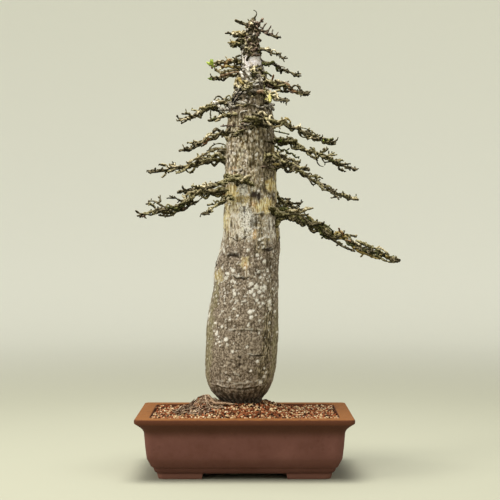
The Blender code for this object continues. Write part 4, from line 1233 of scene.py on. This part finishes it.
def growLeader(wood):
    rng = random.Random(limbRule["seed"] * 11)
    tip = trunkAxis(np.array(trunk["section"][-1][0] * mm))[1]
    sideways, rise, radii = np.array(leader).T * mm
    path = tip + np.column_stack([sideways, 0.3 * sideways, rise])
    wood.add("twig", "dark", *beadedLine(path, radii, rng, 5, 0.2, 1.5), 8)
    for number, azimuth in enumerate(leaderTwigs):
        turn = math.radians(azimuth)
        way = unit(np.array((math.cos(turn), math.sin(turn), 0.7)))
        start = path[1] - up * (3 + 3 * number) * mm
        twig = np.array([start, start + 6 * mm * way, start + 10 * mm * unit(way + 0.5 * up)])
        line, radii = roundedLine(twig, np.array((2.0, 1.6, 1.2)) * mm, 1.8 * mm)
        wood.add("twig", "olive", line, beaded(line, radii, rng, 4, 0.4), limbLook["twigSides"])
        wood.perch(line, radii, 5 * mm, "olive", rng)


def growKnobs(wood):
    rng = np.random.default_rng(limbRule["seed"] + 5)
    count = knobRule["count"]
    level = rng.uniform(*knobRule["heights"], size=count) * mm
    turn = rng.uniform(0, 2 * math.pi, size=count)
    skin, outward = trunkSkin(turn, level)
    beside = np.abs(level / mm - knobRule["woundHeight"]) < knobRule["woundReach"]
    kept = ~(beside & (np.abs(np.sin(turn / 2 + math.pi / 4)) < 0.8))
    skin, outward = skin[kept], outward[kept]
    count = len(skin)
    way = unit(outward + rng.normal(size=(count, 3)) * 0.55)
    length = rng.uniform(*knobRule["length"], size=(count, 1)) * mm
    curl = rng.normal(size=(count, 3)) * 0.25
    thick = rng.uniform(*knobRule["radius"], size=(count, 1)) * mm * np.array((1.2, 1.0, 0.9, 1.0, 0.6))
    lower, upper = (rng.choice(list(shares), size=count, p=list(shares.values()))
                    for shares in (collarShares["grey"], collarShares["brown"]))
    tones = np.where(level[kept] < knobRule["brownFrom"] * mm, lower, upper)
    wood.addSpurs(tones, skin, way, length, curl, (-0.4, 0.2, 0.55, 0.85, 1.0), thick, 7, 0.3)


# The few leaves: limb, how far along it, how many, their length in mm, how far they are moved sideways and
# up, their colour and the way they point
leaves = (
    ("neck_left", 1.0, 5, 12, (5, 1), "fresh", (0, 0, 1.6)),
    ("neck_left", 1.0, 3, 7, (5, 0), "green", (0.2, 0, 0.8)),
    ("neck_left_back", 1.0, 3, 6, (3, 0), "green", (-0.5, 0, 0.3)),
    ("shoulder_front_right", 0.42, 6, 18, (0, -3), "yellow", (-0.4, -0.6, -2)),
    ("upper_mid_right", 0.2, 5, 8, (0, 0), "green", (1, 0, 0)),
    ("high_right", 0.8, 2, 6, (0, 0), "fresh", (1, 0, 0.5)),
)
leafTones = {"green": (0.17, 0.25, 0.025), "fresh": (0.42, 0.52, 0.09), "yellow": (0.54, 0.49, 0.15)}


def addLeaf(bundle, start, way, length, rng):
    # a folded blade with pointed ends, a little thick
    share = np.array((0, 0.25, 0.55, 0.8, 1.0))
    half = 0.26 * length * np.array((0.12, 0.85, 1.0, 0.6, 0.05))
    side = unit(np.cross(way, np.array((0, 1, 0)) + 0.4 * rng.normal(size=3)))
    lift = np.cross(side, way)
    spine = start + way * (share * length)[:, None] - lift * (0.25 * length * share**2)[:, None]
    points = []
    for thick in (-0.03 * length, 0.03 * length):
        for across in (-1, 0, 1):
            fold = 0.35 * abs(across) * half
            points.append(spine + across * half[:, None] * side + (fold + thick)[:, None] * lift)
    rows = np.arange(4)[:, None]
    faces = []
    for low, high in ((0, 5), (5, 10)):
        faces.append(np.hstack([low + rows, high + rows, high + rows + 1, low + rows + 1])[:, ::-1])
        faces.append(np.hstack([15 + low + rows, 15 + high + rows, 16 + high + rows, 16 + low + rows]))
    faces.append(np.hstack([rows, rows + 1, rows + 16, rows + 15])[:, ::-1])
    faces.append(np.hstack([rows + 10, rows + 11, rows + 26, rows + 25]))
    faces.append(np.array(((0, 5, 20, 15), (5, 10, 25, 20), (4, 19, 24, 9), (9, 24, 29, 14))))
    bundle.add(np.concatenate(points)[None], *faces)


def growLeaves(routes):
    rng = np.random.default_rng(limbRule["seed"] + 8)
    bundles = {tone: Bundle() for tone in leafTones}
    for name, share, count, length, (sideways, rise), tone, aim in leaves:
        bends = routes[name]
        start = bends[round(share * (len(bends) - 1))]
        for _ in range(count):
            way = unit(0.6 * rng.normal(size=3) + aim)
            foot = start + (rng.normal(size=3) * 1.5 + (sideways, -6, rise)) * mm
            addLeaf(bundles[tone], foot, way, length * mm * rng.uniform(0.7, 1.2), rng)
    for tone, bundle in bundles.items():
        finish, tree, shader = newFinish(tone + "Leaf", 0.55)
        shades = [[min(1, share * part) for part in leafTones[tone]] for share in (0.7, 1, 1.3)]
        tree.links.new(mottled(tree, shades, 4)["Color"], shader["Base Color"])
        bundle.piece("leaves_" + tone, finish, "twig_bark", massNodes)


def makeLimbs():
    wood = Wood()
    routes = {}
    growCollars(wood)
    growLeader(wood)
    growKnobs(wood)
    growPlaced(wood)
    growClumps(wood)
    for number, limb in enumerate(limbs):
        bends, radii, first = limbRoute(number, limb)
        routes[limb.name] = bends
        dressStem(wood, limb, number, bends, radii, first)
        dressTwigs(wood, limb, number, bends, first)
        growRoots(wood, limb, number, bends)
    growSpurs(wood)
    growLeaves(routes)
    # every wood tone but the near-black one gets the painted highlight on top
    finishes = {tone: woodFinish(tone + "Wood", colours, paintedTopHighlight=0.4 * (tone != "soot"))
                for tone, colours in allTones.items()}
    boughFinish = woodFinish("boughBark", woodTones["olive"], 8)
    for (kind, tone), bundle in wood.bundles.items():
        if kind == "bough":
            bundle.piece("boughs_bark", boughFinish, "limb_bark", limbNodes)
        else:
            bundle.piece(f"{kind}s_{tone}", finishes[tone], "twig_bark", massNodes)


makeLimbs()
print("limbs done")



# Tray

tray = {
    "width": 433,
    "depth": 300,
    "floorUnderside": 12,
    "frontGap": 166,
    "sideGap": 96,
    "gapFlare": 3,
    "gapLength": 400,  # to either side, well past the tray's ends
    "drainRadius": 13,
    "drainSpacing": 150,
    "drainSides": 40,
    "cornerSteps": 12,
    "sideSteps": (30, 20),
    "softening": 1.2,
    "sharpFrom": 38,  # degrees
    # how far the wall is out of true, how long its waves are, and how high they run and fade out
    "wave": 0.5,
    "waveLength": 55,
    "waveMiddle": 62,
    "waveReach": 40,
    "waveFade": 15,
    # inset from the rim's outline, height and corner radius, from the foot round the rim to the floor
    "section": (
        (66, 12, 8), (66, 1, 8), (65, 0, 8), (45.5, 0, 13), (44.5, 1, 14), (42, 12, 14), (38.4, 14, 14),
        (35.4, 20, 15), (36, 21.6, 15), (31, 25.5, 16), (22.8, 42, 18), (20.1, 64, 18), (17.7, 95.5, 17),
        (14.5, 101.5, 16), (10.8, 105.5, 15), (4, 111.5, 12), (0.8, 114, 11), (0, 116, 10), (0, 121.4, 10),
        (1.8, 123.3, 9), (26.8, 123.3, 18), (28.4, 121.8, 19), (30, 95, 20), (33, 60, 20), (38, 40, 20),
        (47, 27, 20), (57, 22, 18),
    ),
    "wallFrom": 21,  # the row of the section at the top of the inner wall
}


def trayRing(inset, height, corner, steps):
    # one level of the tray: its outline pulled in by inset, with round corners, in mm
    half = (tray["width"] / 2 - inset, tray["depth"] / 2 - inset)
    arcs = []
    for turn, (sx, sy) in enumerate(((1, 1), (-1, 1), (-1, -1), (1, -1))):
        angle = math.pi / 2 * (turn + np.linspace(0, 1, tray["cornerSteps"] + 1))
        x = sx * (half[0] - corner) + corner * np.cos(angle)
        y = sy * (half[1] - corner) + corner * np.sin(angle)
        arcs.append(np.column_stack([x, y]))
    ring = []
    for turn, arc in enumerate(arcs):
        share = np.linspace(0, 1, steps[turn % 2] + 1)[1:-1, None]
        ring += [arc, arc[-1] * (1 - share) + arcs[(turn + 1) % 4][0] * share]
    ring = np.concatenate(ring)
    return np.column_stack([ring, np.full(len(ring), height)]) * mm


def softened(rows, cut):
    # the section with each corner cut back a little, twice, so that its edges are round
    rows = np.array(rows, dtype=float)
    for reach in (cut, 0.4 * cut):
        soft = [rows[0]]
        for before, row, after in zip(rows, rows[1:], rows[2:]):
            for other in (before, after):
                length = np.linalg.norm((other - row)[:2])
                soft.append(row + (other - row) * min(0.25, reach / length))
        rows = np.array(soft + [rows[-1]])
    return rows


def addSolid(name, points, faces):
    return addObject(name, newMesh(name, points + trayCentre, faces))


def gapCutter(name, width, alongX):
    low, high = -5.0, tray["floorUnderside"]
    rings = []
    for end in (-tray["gapLength"], tray["gapLength"]):
        ring = []
        for side, level in ((-1, low), (1, low), (1, high), (-1, high)):
            across = side * (width / 2 + tray["gapFlare"] * (high - level) / (high - low))
            ring.append((end, across, level) if alongX else (across, -end, level))
        rings.append(np.array(ring) * mm)
    return addSolid(name, *closedLoft(rings))


def drainCutter(name, x):
    angle = evenTurns(tray["drainSides"])
    circle = np.column_stack([x + tray["drainRadius"] * np.cos(angle), tray["drainRadius"] * np.sin(angle)])
    rings = [np.column_stack([circle, np.full(len(circle), level)]) * mm for level in (-10.0, 40.0)]
    return addSolid(name, *closedLoft(rings))


def makeClay():
    # even brown clay, with painted shade in the cove under the rim and where the wall turns in to the feet,
    # and dust and a painted highlight on top
    finish, tree, shader = newFinish("firedClay", 0.66, 0.05)
    body = mottled(tree, ((0.145, 0.06, 0.046), (0.175, 0.075, 0.06), (0.205, 0.09, 0.072)), 60, contrast=0.8)
    grain = addEffect(tree, "grain", Size=1.1 * mm)["Height"]
    place = addNode(tree, "TexCoord").outputs["Object"]
    level = addNode(tree, "SeparateXYZ", {0: place}).outputs[2]
    coveShade, edge, feet, low, overFeet = (between(tree, level, start * mm, full * mm) for start, full in (
        (80, 101), (110, 114), (12, 8), (60, 22), (9, 14)))
    colour = body["Color"]
    for where, share, tone in (
        # painted shade in the cove under the rim
        (coveShade, 0.78, (0.05, 0.02, 0.009)),
        (edge, 1.0, (0.118, 0.043, 0.023)),
        (feet, 1.0, (0.23, 0.105, 0.078)),
        # painted shade where the wall turns in to the feet, above the feet themselves
        (times(tree, low, overFeet), 0.5, (0.062, 0.024, 0.013)),
        # dust on the faces turned to the sky, brighter and more orange than the body, partly a painted
        # highlight
        (addEffect(tree, "tops", Size=14 * mm, Steepness=0.65)["Mask"], 0.9, (0.265, 0.106, 0.028)),
        (between(tree, grain, 0.4, 0.75), 0.16, (0.26, 0.12, 0.075)),
        (addEffect(tree, "specks", Size=9 * mm, Amount=0.08)["Mask"], 0.15, (0.06, 0.028, 0.02)),
    ):
        colour = mixed(tree, times(tree, where, share), colour, rgb(*tone))
    paint(tree, shader, colour, grain, 0.35)
    return finish


def makeTray():
    rings = [trayRing(*row, tray["sideSteps"]) for row in softened(tray["section"], tray["softening"])]
    points, faces = closedLoft(rings)
    onWall = 1 - ease((np.abs(points[:, 2] / mm - tray["waveMiddle"]) - tray["waveReach"]) / tray["waveFade"])
    wave = tray["wave"] * mm * onWall * softNoise(points, tray["waveLength"] * mm, 9)
    body = addSolid("tray_body", points + unit(points * (1, 1, 0)) * wave[:, None], faces)
    cutters = [gapCutter("gap_front", tray["frontGap"], False), gapCutter("gap_side", tray["sideGap"], True)]
    cutters += [drainCutter(f"drain_{n}", side * tray["drainSpacing"] / 2) for n, side in enumerate((-1, 1))]
    for cutter in cutters:
        cut = body.modifiers.new(cutter.name, "BOOLEAN")
        cut.operation = "DIFFERENCE"
        cut.solver = "EXACT"
        cut.object = cutter
    mesh = bpy.data.meshes.new_from_object(body.evaluated_get(bpy.context.evaluated_depsgraph_get()))
    mesh.name = "clay_tray"
    for helper in [body, *cutters]:
        bpy.data.objects.remove(helper)
    mesh.shade_smooth()
    mesh.set_sharp_from_angle(angle=math.radians(tray["sharpFrom"]))
    mesh.materials.clear()
    addPiece("clay_tray", mesh, makeClay(), ["pot"])


makeTray()
print("tray done")


# Soil

soil = {
    "atWall": 118,
    "crown": 139,
    "crownFlat": 47,
    "crownSlope": 74,
    # the litter's heap: middle, reach and height, first as in the solids
    "heaps": (((-82, -14), (56, 42), 34), ((-66, -10), (34, 28), 30), ((-104, -16), (44, 36), 17)),
    "humpHeight": 2,
    "humpLengths": (44, 40),
    "humpsFrom": 15,
    "gap": 0.3,
    "footRing": 44,
    "rings": 34,
    "sideSteps": (40, 26),
    "bedRough": 0.7,
    "bedRoughSize": 6,
    "bedSunk": 1.3,  # so that the grains stand out of the bed
    "grainSeed": 77,
    "grains": 7400,
    "grainRadius": (1.6, 3.4),
    "grainInset": 31,
    "grainCorner": 12,
    "grainsFrom": 41,
    "litterSeed": 19,
    "shreds": 900,
    "shredsBeside": 0.3,  # of them lie between the heap and the trunk
    "shredLength": (7, 22),
    "shredRadius": (0.8, 1.9),
    "shredsFrom": 50,
}
bedTones = ((0.045, 0.02, 0.009), (0.15, 0.068, 0.032), (0.4, 0.24, 0.13))
# Each colour of grain: how common it is, its dark and its light
grainTones = {
    "terracotta": (0.31, (0.27, 0.08, 0.028), (0.5, 0.2, 0.09)),
    "brick": (0.22, (0.15, 0.042, 0.013), (0.31, 0.11, 0.047)),
    "sand": (0.17, (0.56, 0.35, 0.17), (0.9, 0.67, 0.42)),
    "umber": (0.18, (0.035, 0.013, 0.005), (0.1, 0.045, 0.02)),
    "straw": (0.12, (0.72, 0.54, 0.29), (1.0, 0.88, 0.63)),
}
# The same for the litter, with its tones from dark to light
litterTones = {
    "pale": (0.34, ((0.4, 0.26, 0.145), (0.7, 0.505, 0.335), (0.92, 0.74, 0.555))),
    "drab": (0.3, ((0.1, 0.057, 0.028), (0.31, 0.19, 0.108), (0.6, 0.42, 0.275))),
    "bark": (0.36, ((0.025, 0.012, 0.006), (0.09, 0.045, 0.024), (0.28, 0.16, 0.1))),
}
# The long strip of bark against the trunk's foot: across, behind, height over the soil and radius, in mm
barkTongue = (
    (-86, 2, 2, 1.5), (-76, -14, 5, 4.2), (-62, -27, 6, 5.2), (-46, -37, 6, 5), (-30, -43, 5, 4),
    (-18, -44, 2, 1.6),
)


def footCentre():
    return np.array((trunk["section"][0][2], trunk["behindCentre"])) * mm


def humps(x, y):
    # low humps about 30 mm apart, as in the solids
    along, across = (2 * math.pi * place / length for place, length in zip((x, y), soil["humpLengths"]))
    bent = np.sin(along + 1.3 * np.sin(0.6 * across)) * np.sin(across + 1.1 * np.sin(0.7 * along))
    return soil["humpHeight"] * bent


def soilHeight(x, y):
    # even at the wall, with a rise under the trunk and the litter's low heap
    x, y, (footX, footY) = x / mm, y / mm, footCentre() / mm
    away = np.hypot(x - footX, y - footY) - soil["crownFlat"]
    lift = (soil["crown"] - soil["atWall"]) * (1 - ease(away / soil["crownSlope"]))
    for centre, reach, height in soil["heaps"]:
        out = np.hypot((x - centre[0]) / reach[0], (y - centre[1]) / reach[1])
        lift = np.maximum(lift, height * (1 - ease(out)))
    return (soil["atWall"] + lift + humps(x, y) * ease(away / soil["humpsFrom"])) * mm


def chipShape():
    # an icosahedron's corners and faces
    golden = (1 + 5**0.5) / 2
    rows = [(0, y, z * golden) for y, z in ((1, 1), (1, -1), (-1, 1), (-1, -1))]
    corners = unit(np.array([row[n:] + row[:n] for n in range(3) for row in rows]))
    edge = 1.01 * min(np.linalg.norm(corners[0] - other) for other in corners[1:])
    faces = []
    for a, b, c in combinations(range(len(corners)), 3):
        sides = corners[[b, c, a]] - corners[[a, b, c]]
        if np.linalg.norm(sides, axis=1).max() < edge:
            outward = np.dot(np.cross(sides[0], sides[1]), corners[a]) > 0
            faces.append((a, b, c) if outward else (a, c, b))
    return corners, np.array(faces)


def scatterGrains(rng, count):
    # places over the soil, within the tray's round corners and clear of the trunk's foot
    half = (np.array((tray["width"], tray["depth"])) / 2 - soil["grainInset"]) * mm
    places = rng.uniform(-1, 1, size=(2 * count, 2)) * half
    corner = soil["grainCorner"] * mm
    over = np.maximum(np.abs(places) - (half - corner), 0)
    clear = np.linalg.norm(places - footCentre(), axis=1) > soil["grainsFrom"] * mm
    return places[clear & (np.hypot(*over.T) < corner)][:count]


def makeGrains():
    rng = np.random.default_rng(soil["grainSeed"])
    corners, faces = chipShape()
    places = scatterGrains(rng, soil["grains"])
    count = len(places)
    radius = rng.uniform(*soil["grainRadius"], size=count) * mm
    shape = corners * rng.uniform(0.62, 1.25, size=(count, 12, 1)) * rng.uniform(0.7, 1.3, size=(count, 1, 3))
    spin = rng.uniform(0, 2 * math.pi, size=(count, 1))
    x, y, z = np.moveaxis(shape, -1, 0)
    turned = np.stack([x * np.cos(spin) - y * np.sin(spin), x * np.sin(spin) + y * np.cos(spin), z], axis=-1)
    level = soilHeight(*places.T) + radius * rng.uniform(-0.7, 0.5, size=count)
    points = np.column_stack([places, level])[:, None] + turned * radius[:, None, None]
    shares = np.array([tone[0] for tone in grainTones.values()])
    picks = rng.choice(len(shares), size=count, p=shares / shares.sum())
    for number, (name, (_, dark, light)) in enumerate(grainTones.items()):
        finish, tree, shader = newFinish(name + "Grit", 0.9, 0.15)
        tones = mottled(tree, (dark, dark, light), 4, contrast=1.6)
        paint(tree, shader, tones["Color"], tones["Height"], 0.5)
        bundle = Bundle()
        bundle.add(points[picks == number], faces)
        bundle.piece("grains_" + name, finish, "grit", ["soil"], smooth=False)


def makeSoilBed():
    gap, steps = soil["gap"], soil["sideSteps"]
    wall = [row for row in tray["section"][tray["wallFrom"]:] if row[1] < soil["atWall"]]
    rings = [trayRing(inset + 2 * gap, height + gap, corner, steps) for inset, height, corner in wall[::-1]]
    edge = trayRing(wall[0][0] + 2 * gap, 0, wall[0][2], steps)[:, :2]
    inner = footCentre() + soil["footRing"] * mm * unit(edge - footCentre())
    for number in range(soil["rings"] + 1):
        share = number / soil["rings"]
        flat = edge * (1 - share) + inner * share
        place = np.column_stack([flat, 0 * flat[:, 0]])
        rough = soil["bedRough"] * softNoise(place, soil["bedRoughSize"] * mm, 14) - soil["bedSunk"]
        rings.append(np.column_stack([flat, soilHeight(*flat.T) + rough * mm]))
    points, faces = closedLoft(rings)
    finish, tree, shader = newFinish("soilBed", 0.95, 0.1)
    tones = mottled(tree, bedTones, 4, contrast=1.5)
    paint(tree, shader, tones["Color"], tones["Height"], 2)
    addSkin("soil_bed", points, faces, finish, ["soil"])


def shredLines(rng, count):
    centre, reach = (np.array(pair) for pair in soil["heaps"][0][:2])
    turn = rng.uniform(0, 2 * math.pi, size=count)
    out = rng.random(count) ** 0.55
    beside = rng.random((count, 1)) < soil["shredsBeside"]
    middle = np.where(beside, centre + (26, -8), centre)
    wide = np.where(beside, reach * (0.55, 0.6), reach * (1.1, 1.0))
    places = (middle + np.column_stack([np.cos(turn), np.sin(turn)]) * out[:, None] * wide) * mm
    kept = np.linalg.norm(places - footCentre(), axis=1) > soil["shredsFrom"] * mm
    places, beside = places[kept], beside[kept, 0]
    count = len(places)
    spin = rng.normal(0.1, 0.8, size=count)
    way = np.column_stack([np.cos(spin), np.sin(spin), rng.normal(0, 0.1, size=count)])[:, None]
    length = rng.uniform(*soil["shredLength"], size=count)[:, None, None] * mm
    bow = rng.normal(size=(count, 3))[:, None] * (0.14, 0.14, 0.05)
    share = np.linspace(-0.5, 0.5, 6)[None, :, None]
    lines = np.column_stack([places, np.zeros(count)])[:, None] + (way * share + 2 * bow * share**2) * length
    outer = ease((centre[0] - 12 - places[:, 0] / mm) / 20)  # the heap is fuller on its far side
    lift = rng.uniform(0.0, 3.5, size=count) + np.maximum(0.4 * beside, outer) * rng.uniform(0, 6, size=count)
    lines[..., 2] += soilHeight(lines[..., 0], lines[..., 1]) + lift[:, None] * mm
    return lines


def makeLitter():
    # dry shreds of bark heaped left of the trunk
    rng = np.random.default_rng(soil["litterSeed"])
    lines = shredLines(rng, soil["shreds"])
    count = len(lines)
    tapering = np.array((0.35, 0.9, 1.0, 0.95, 0.8, 0.3))
    radii = rng.uniform(*soil["shredRadius"], size=count)[:, None] * mm * tapering
    picks = rng.choice(len(litterTones), size=count, p=[share for share, _ in litterTones.values()])
    for number, (name, (_, tones)) in enumerate(litterTones.items()):
        bundle = Bundle()
        own = picks == number
        addTubes(bundle, lines[own], radii[own], 5, flatten=0.45)
        if name == "drab":
            addBarkTongue(bundle)
        bundle.piece("litter_" + name, woodFinish(name + "Litter", tones, 3), "grit", ["soil"])


def addBarkTongue(bundle):
    across, behind, lift, radii = np.array(barkTongue).T * mm
    bends = np.column_stack([across, behind, soilHeight(across, behind) + lift])
    line, radii = roundedLine(bends, radii, 2 * mm)
    addTubes(bundle, line[None], radii[None], 12, flatten=0.6, knobs=0.45, knobSize=5 * mm)


makeSoilBed()
makeGrains()
makeLitter()
print("soil done")


# Studio

studio = {
    "innerRings": (0.4, 1.2, 2.2),
    "floorRadius": 3.3,
    "bend": 2.4,
    "sides": 96,
    "floorTone": (0.46, 0.46, 0.355),
    "wallTone": (0.95, 0.95, 0.82),
    "toneChange": (1.2, 4.6),  # how far out the one turns into the other
    "camera": (0.0107, -2.85, 0.470),  # from the tray's centre
    "pitch": 0.33,
    "lens": 99.86,
    # place, size, power and colour of each lamp, and the point they all shine at
    "lamps": {
        "overhead": ((-0.2, -0.3, 3.1), 1.6, 108, (1.0, 0.98, 0.93)),
        "key": ((-2.9, -1.5, 1.8), 1.3, 42, (1.0, 0.97, 0.9)),
    },
    "litPoint": (0, 0, 0.45),
    "sky": (0.98, 0.98, 1.0),
    "skyStrength": 0.48,
}


def makeStage():
    # a round floor that bends up into a wall, so that no horizon shows from any side
    arc = np.linspace(0, math.pi / 2, 24)
    inner = studio["innerRings"]
    radius = np.concatenate([inner, studio["floorRadius"] + studio["bend"] * np.sin(arc)])
    height = np.concatenate([np.zeros(len(inner)), studio["bend"] * (1 - np.cos(arc))])
    sides = studio["sides"]
    turn = evenTurns(sides)
    rings = radius[:, None, None] * np.stack([np.cos(turn), np.sin(turn), 0 * turn], axis=-1)
    rings[..., 2] = height[:, None]
    points, faces = closedLoft(rings)
    mesh = newMesh("studio_floor", points, faces[:-sides])  # open at the top
    mesh.shade_smooth()
    finish, tree, shader = newFinish("floorPaint", 0.95, 0.0)
    place = addNode(tree, "TexCoord").outputs["Object"]
    out = addNode(tree, "VectorMath", {0: place}, operation="LENGTH").outputs["Value"]
    tones = (rgb(*studio[name]) for name in ("floorTone", "wallTone"))
    change = between(tree, out, *studio["toneChange"])
    tree.links.new(mixed(tree, change, *tones), shader["Base Color"])
    mesh.materials.append(finish)
    addObject("studio_floor", mesh)


def makeLights():
    for name, (place, size, power, colour) in studio["lamps"].items():
        lamp = bpy.data.lights.new(name, "AREA")
        lamp.size = size
        lamp.energy = power
        lamp.color = colour
        light = addObject(name, lamp)
        light.location = place
        x, y, z = np.array(studio["litPoint"]) - place
        light.rotation_euler = (math.atan2(math.hypot(x, y), -z), 0, math.atan2(-x, y))
        light.visible_camera = False
    world = bpy.data.worlds.new("studioSky")
    world.use_nodes = True
    sky = world.node_tree.nodes["Background"].inputs
    sky["Color"].default_value = rgb(*studio["sky"])
    sky["Strength"].default_value = studio["skyStrength"]
    bpy.context.scene.world = world


def makeCamera():
    data = bpy.data.cameras.new("camera")
    data.lens = studio["lens"]
    data.sensor_width = 36
    camera = addObject("camera", data)
    camera.location = trayCentre + np.array(studio["camera"])
    camera.rotation_euler = (math.radians(90 - studio["pitch"]), 0, 0)
    bpy.context.scene.camera = camera


makeStage()
makeLights()
makeCamera()
bpy.context.scene.view_settings.view_transform = "Standard"
print("studio done")
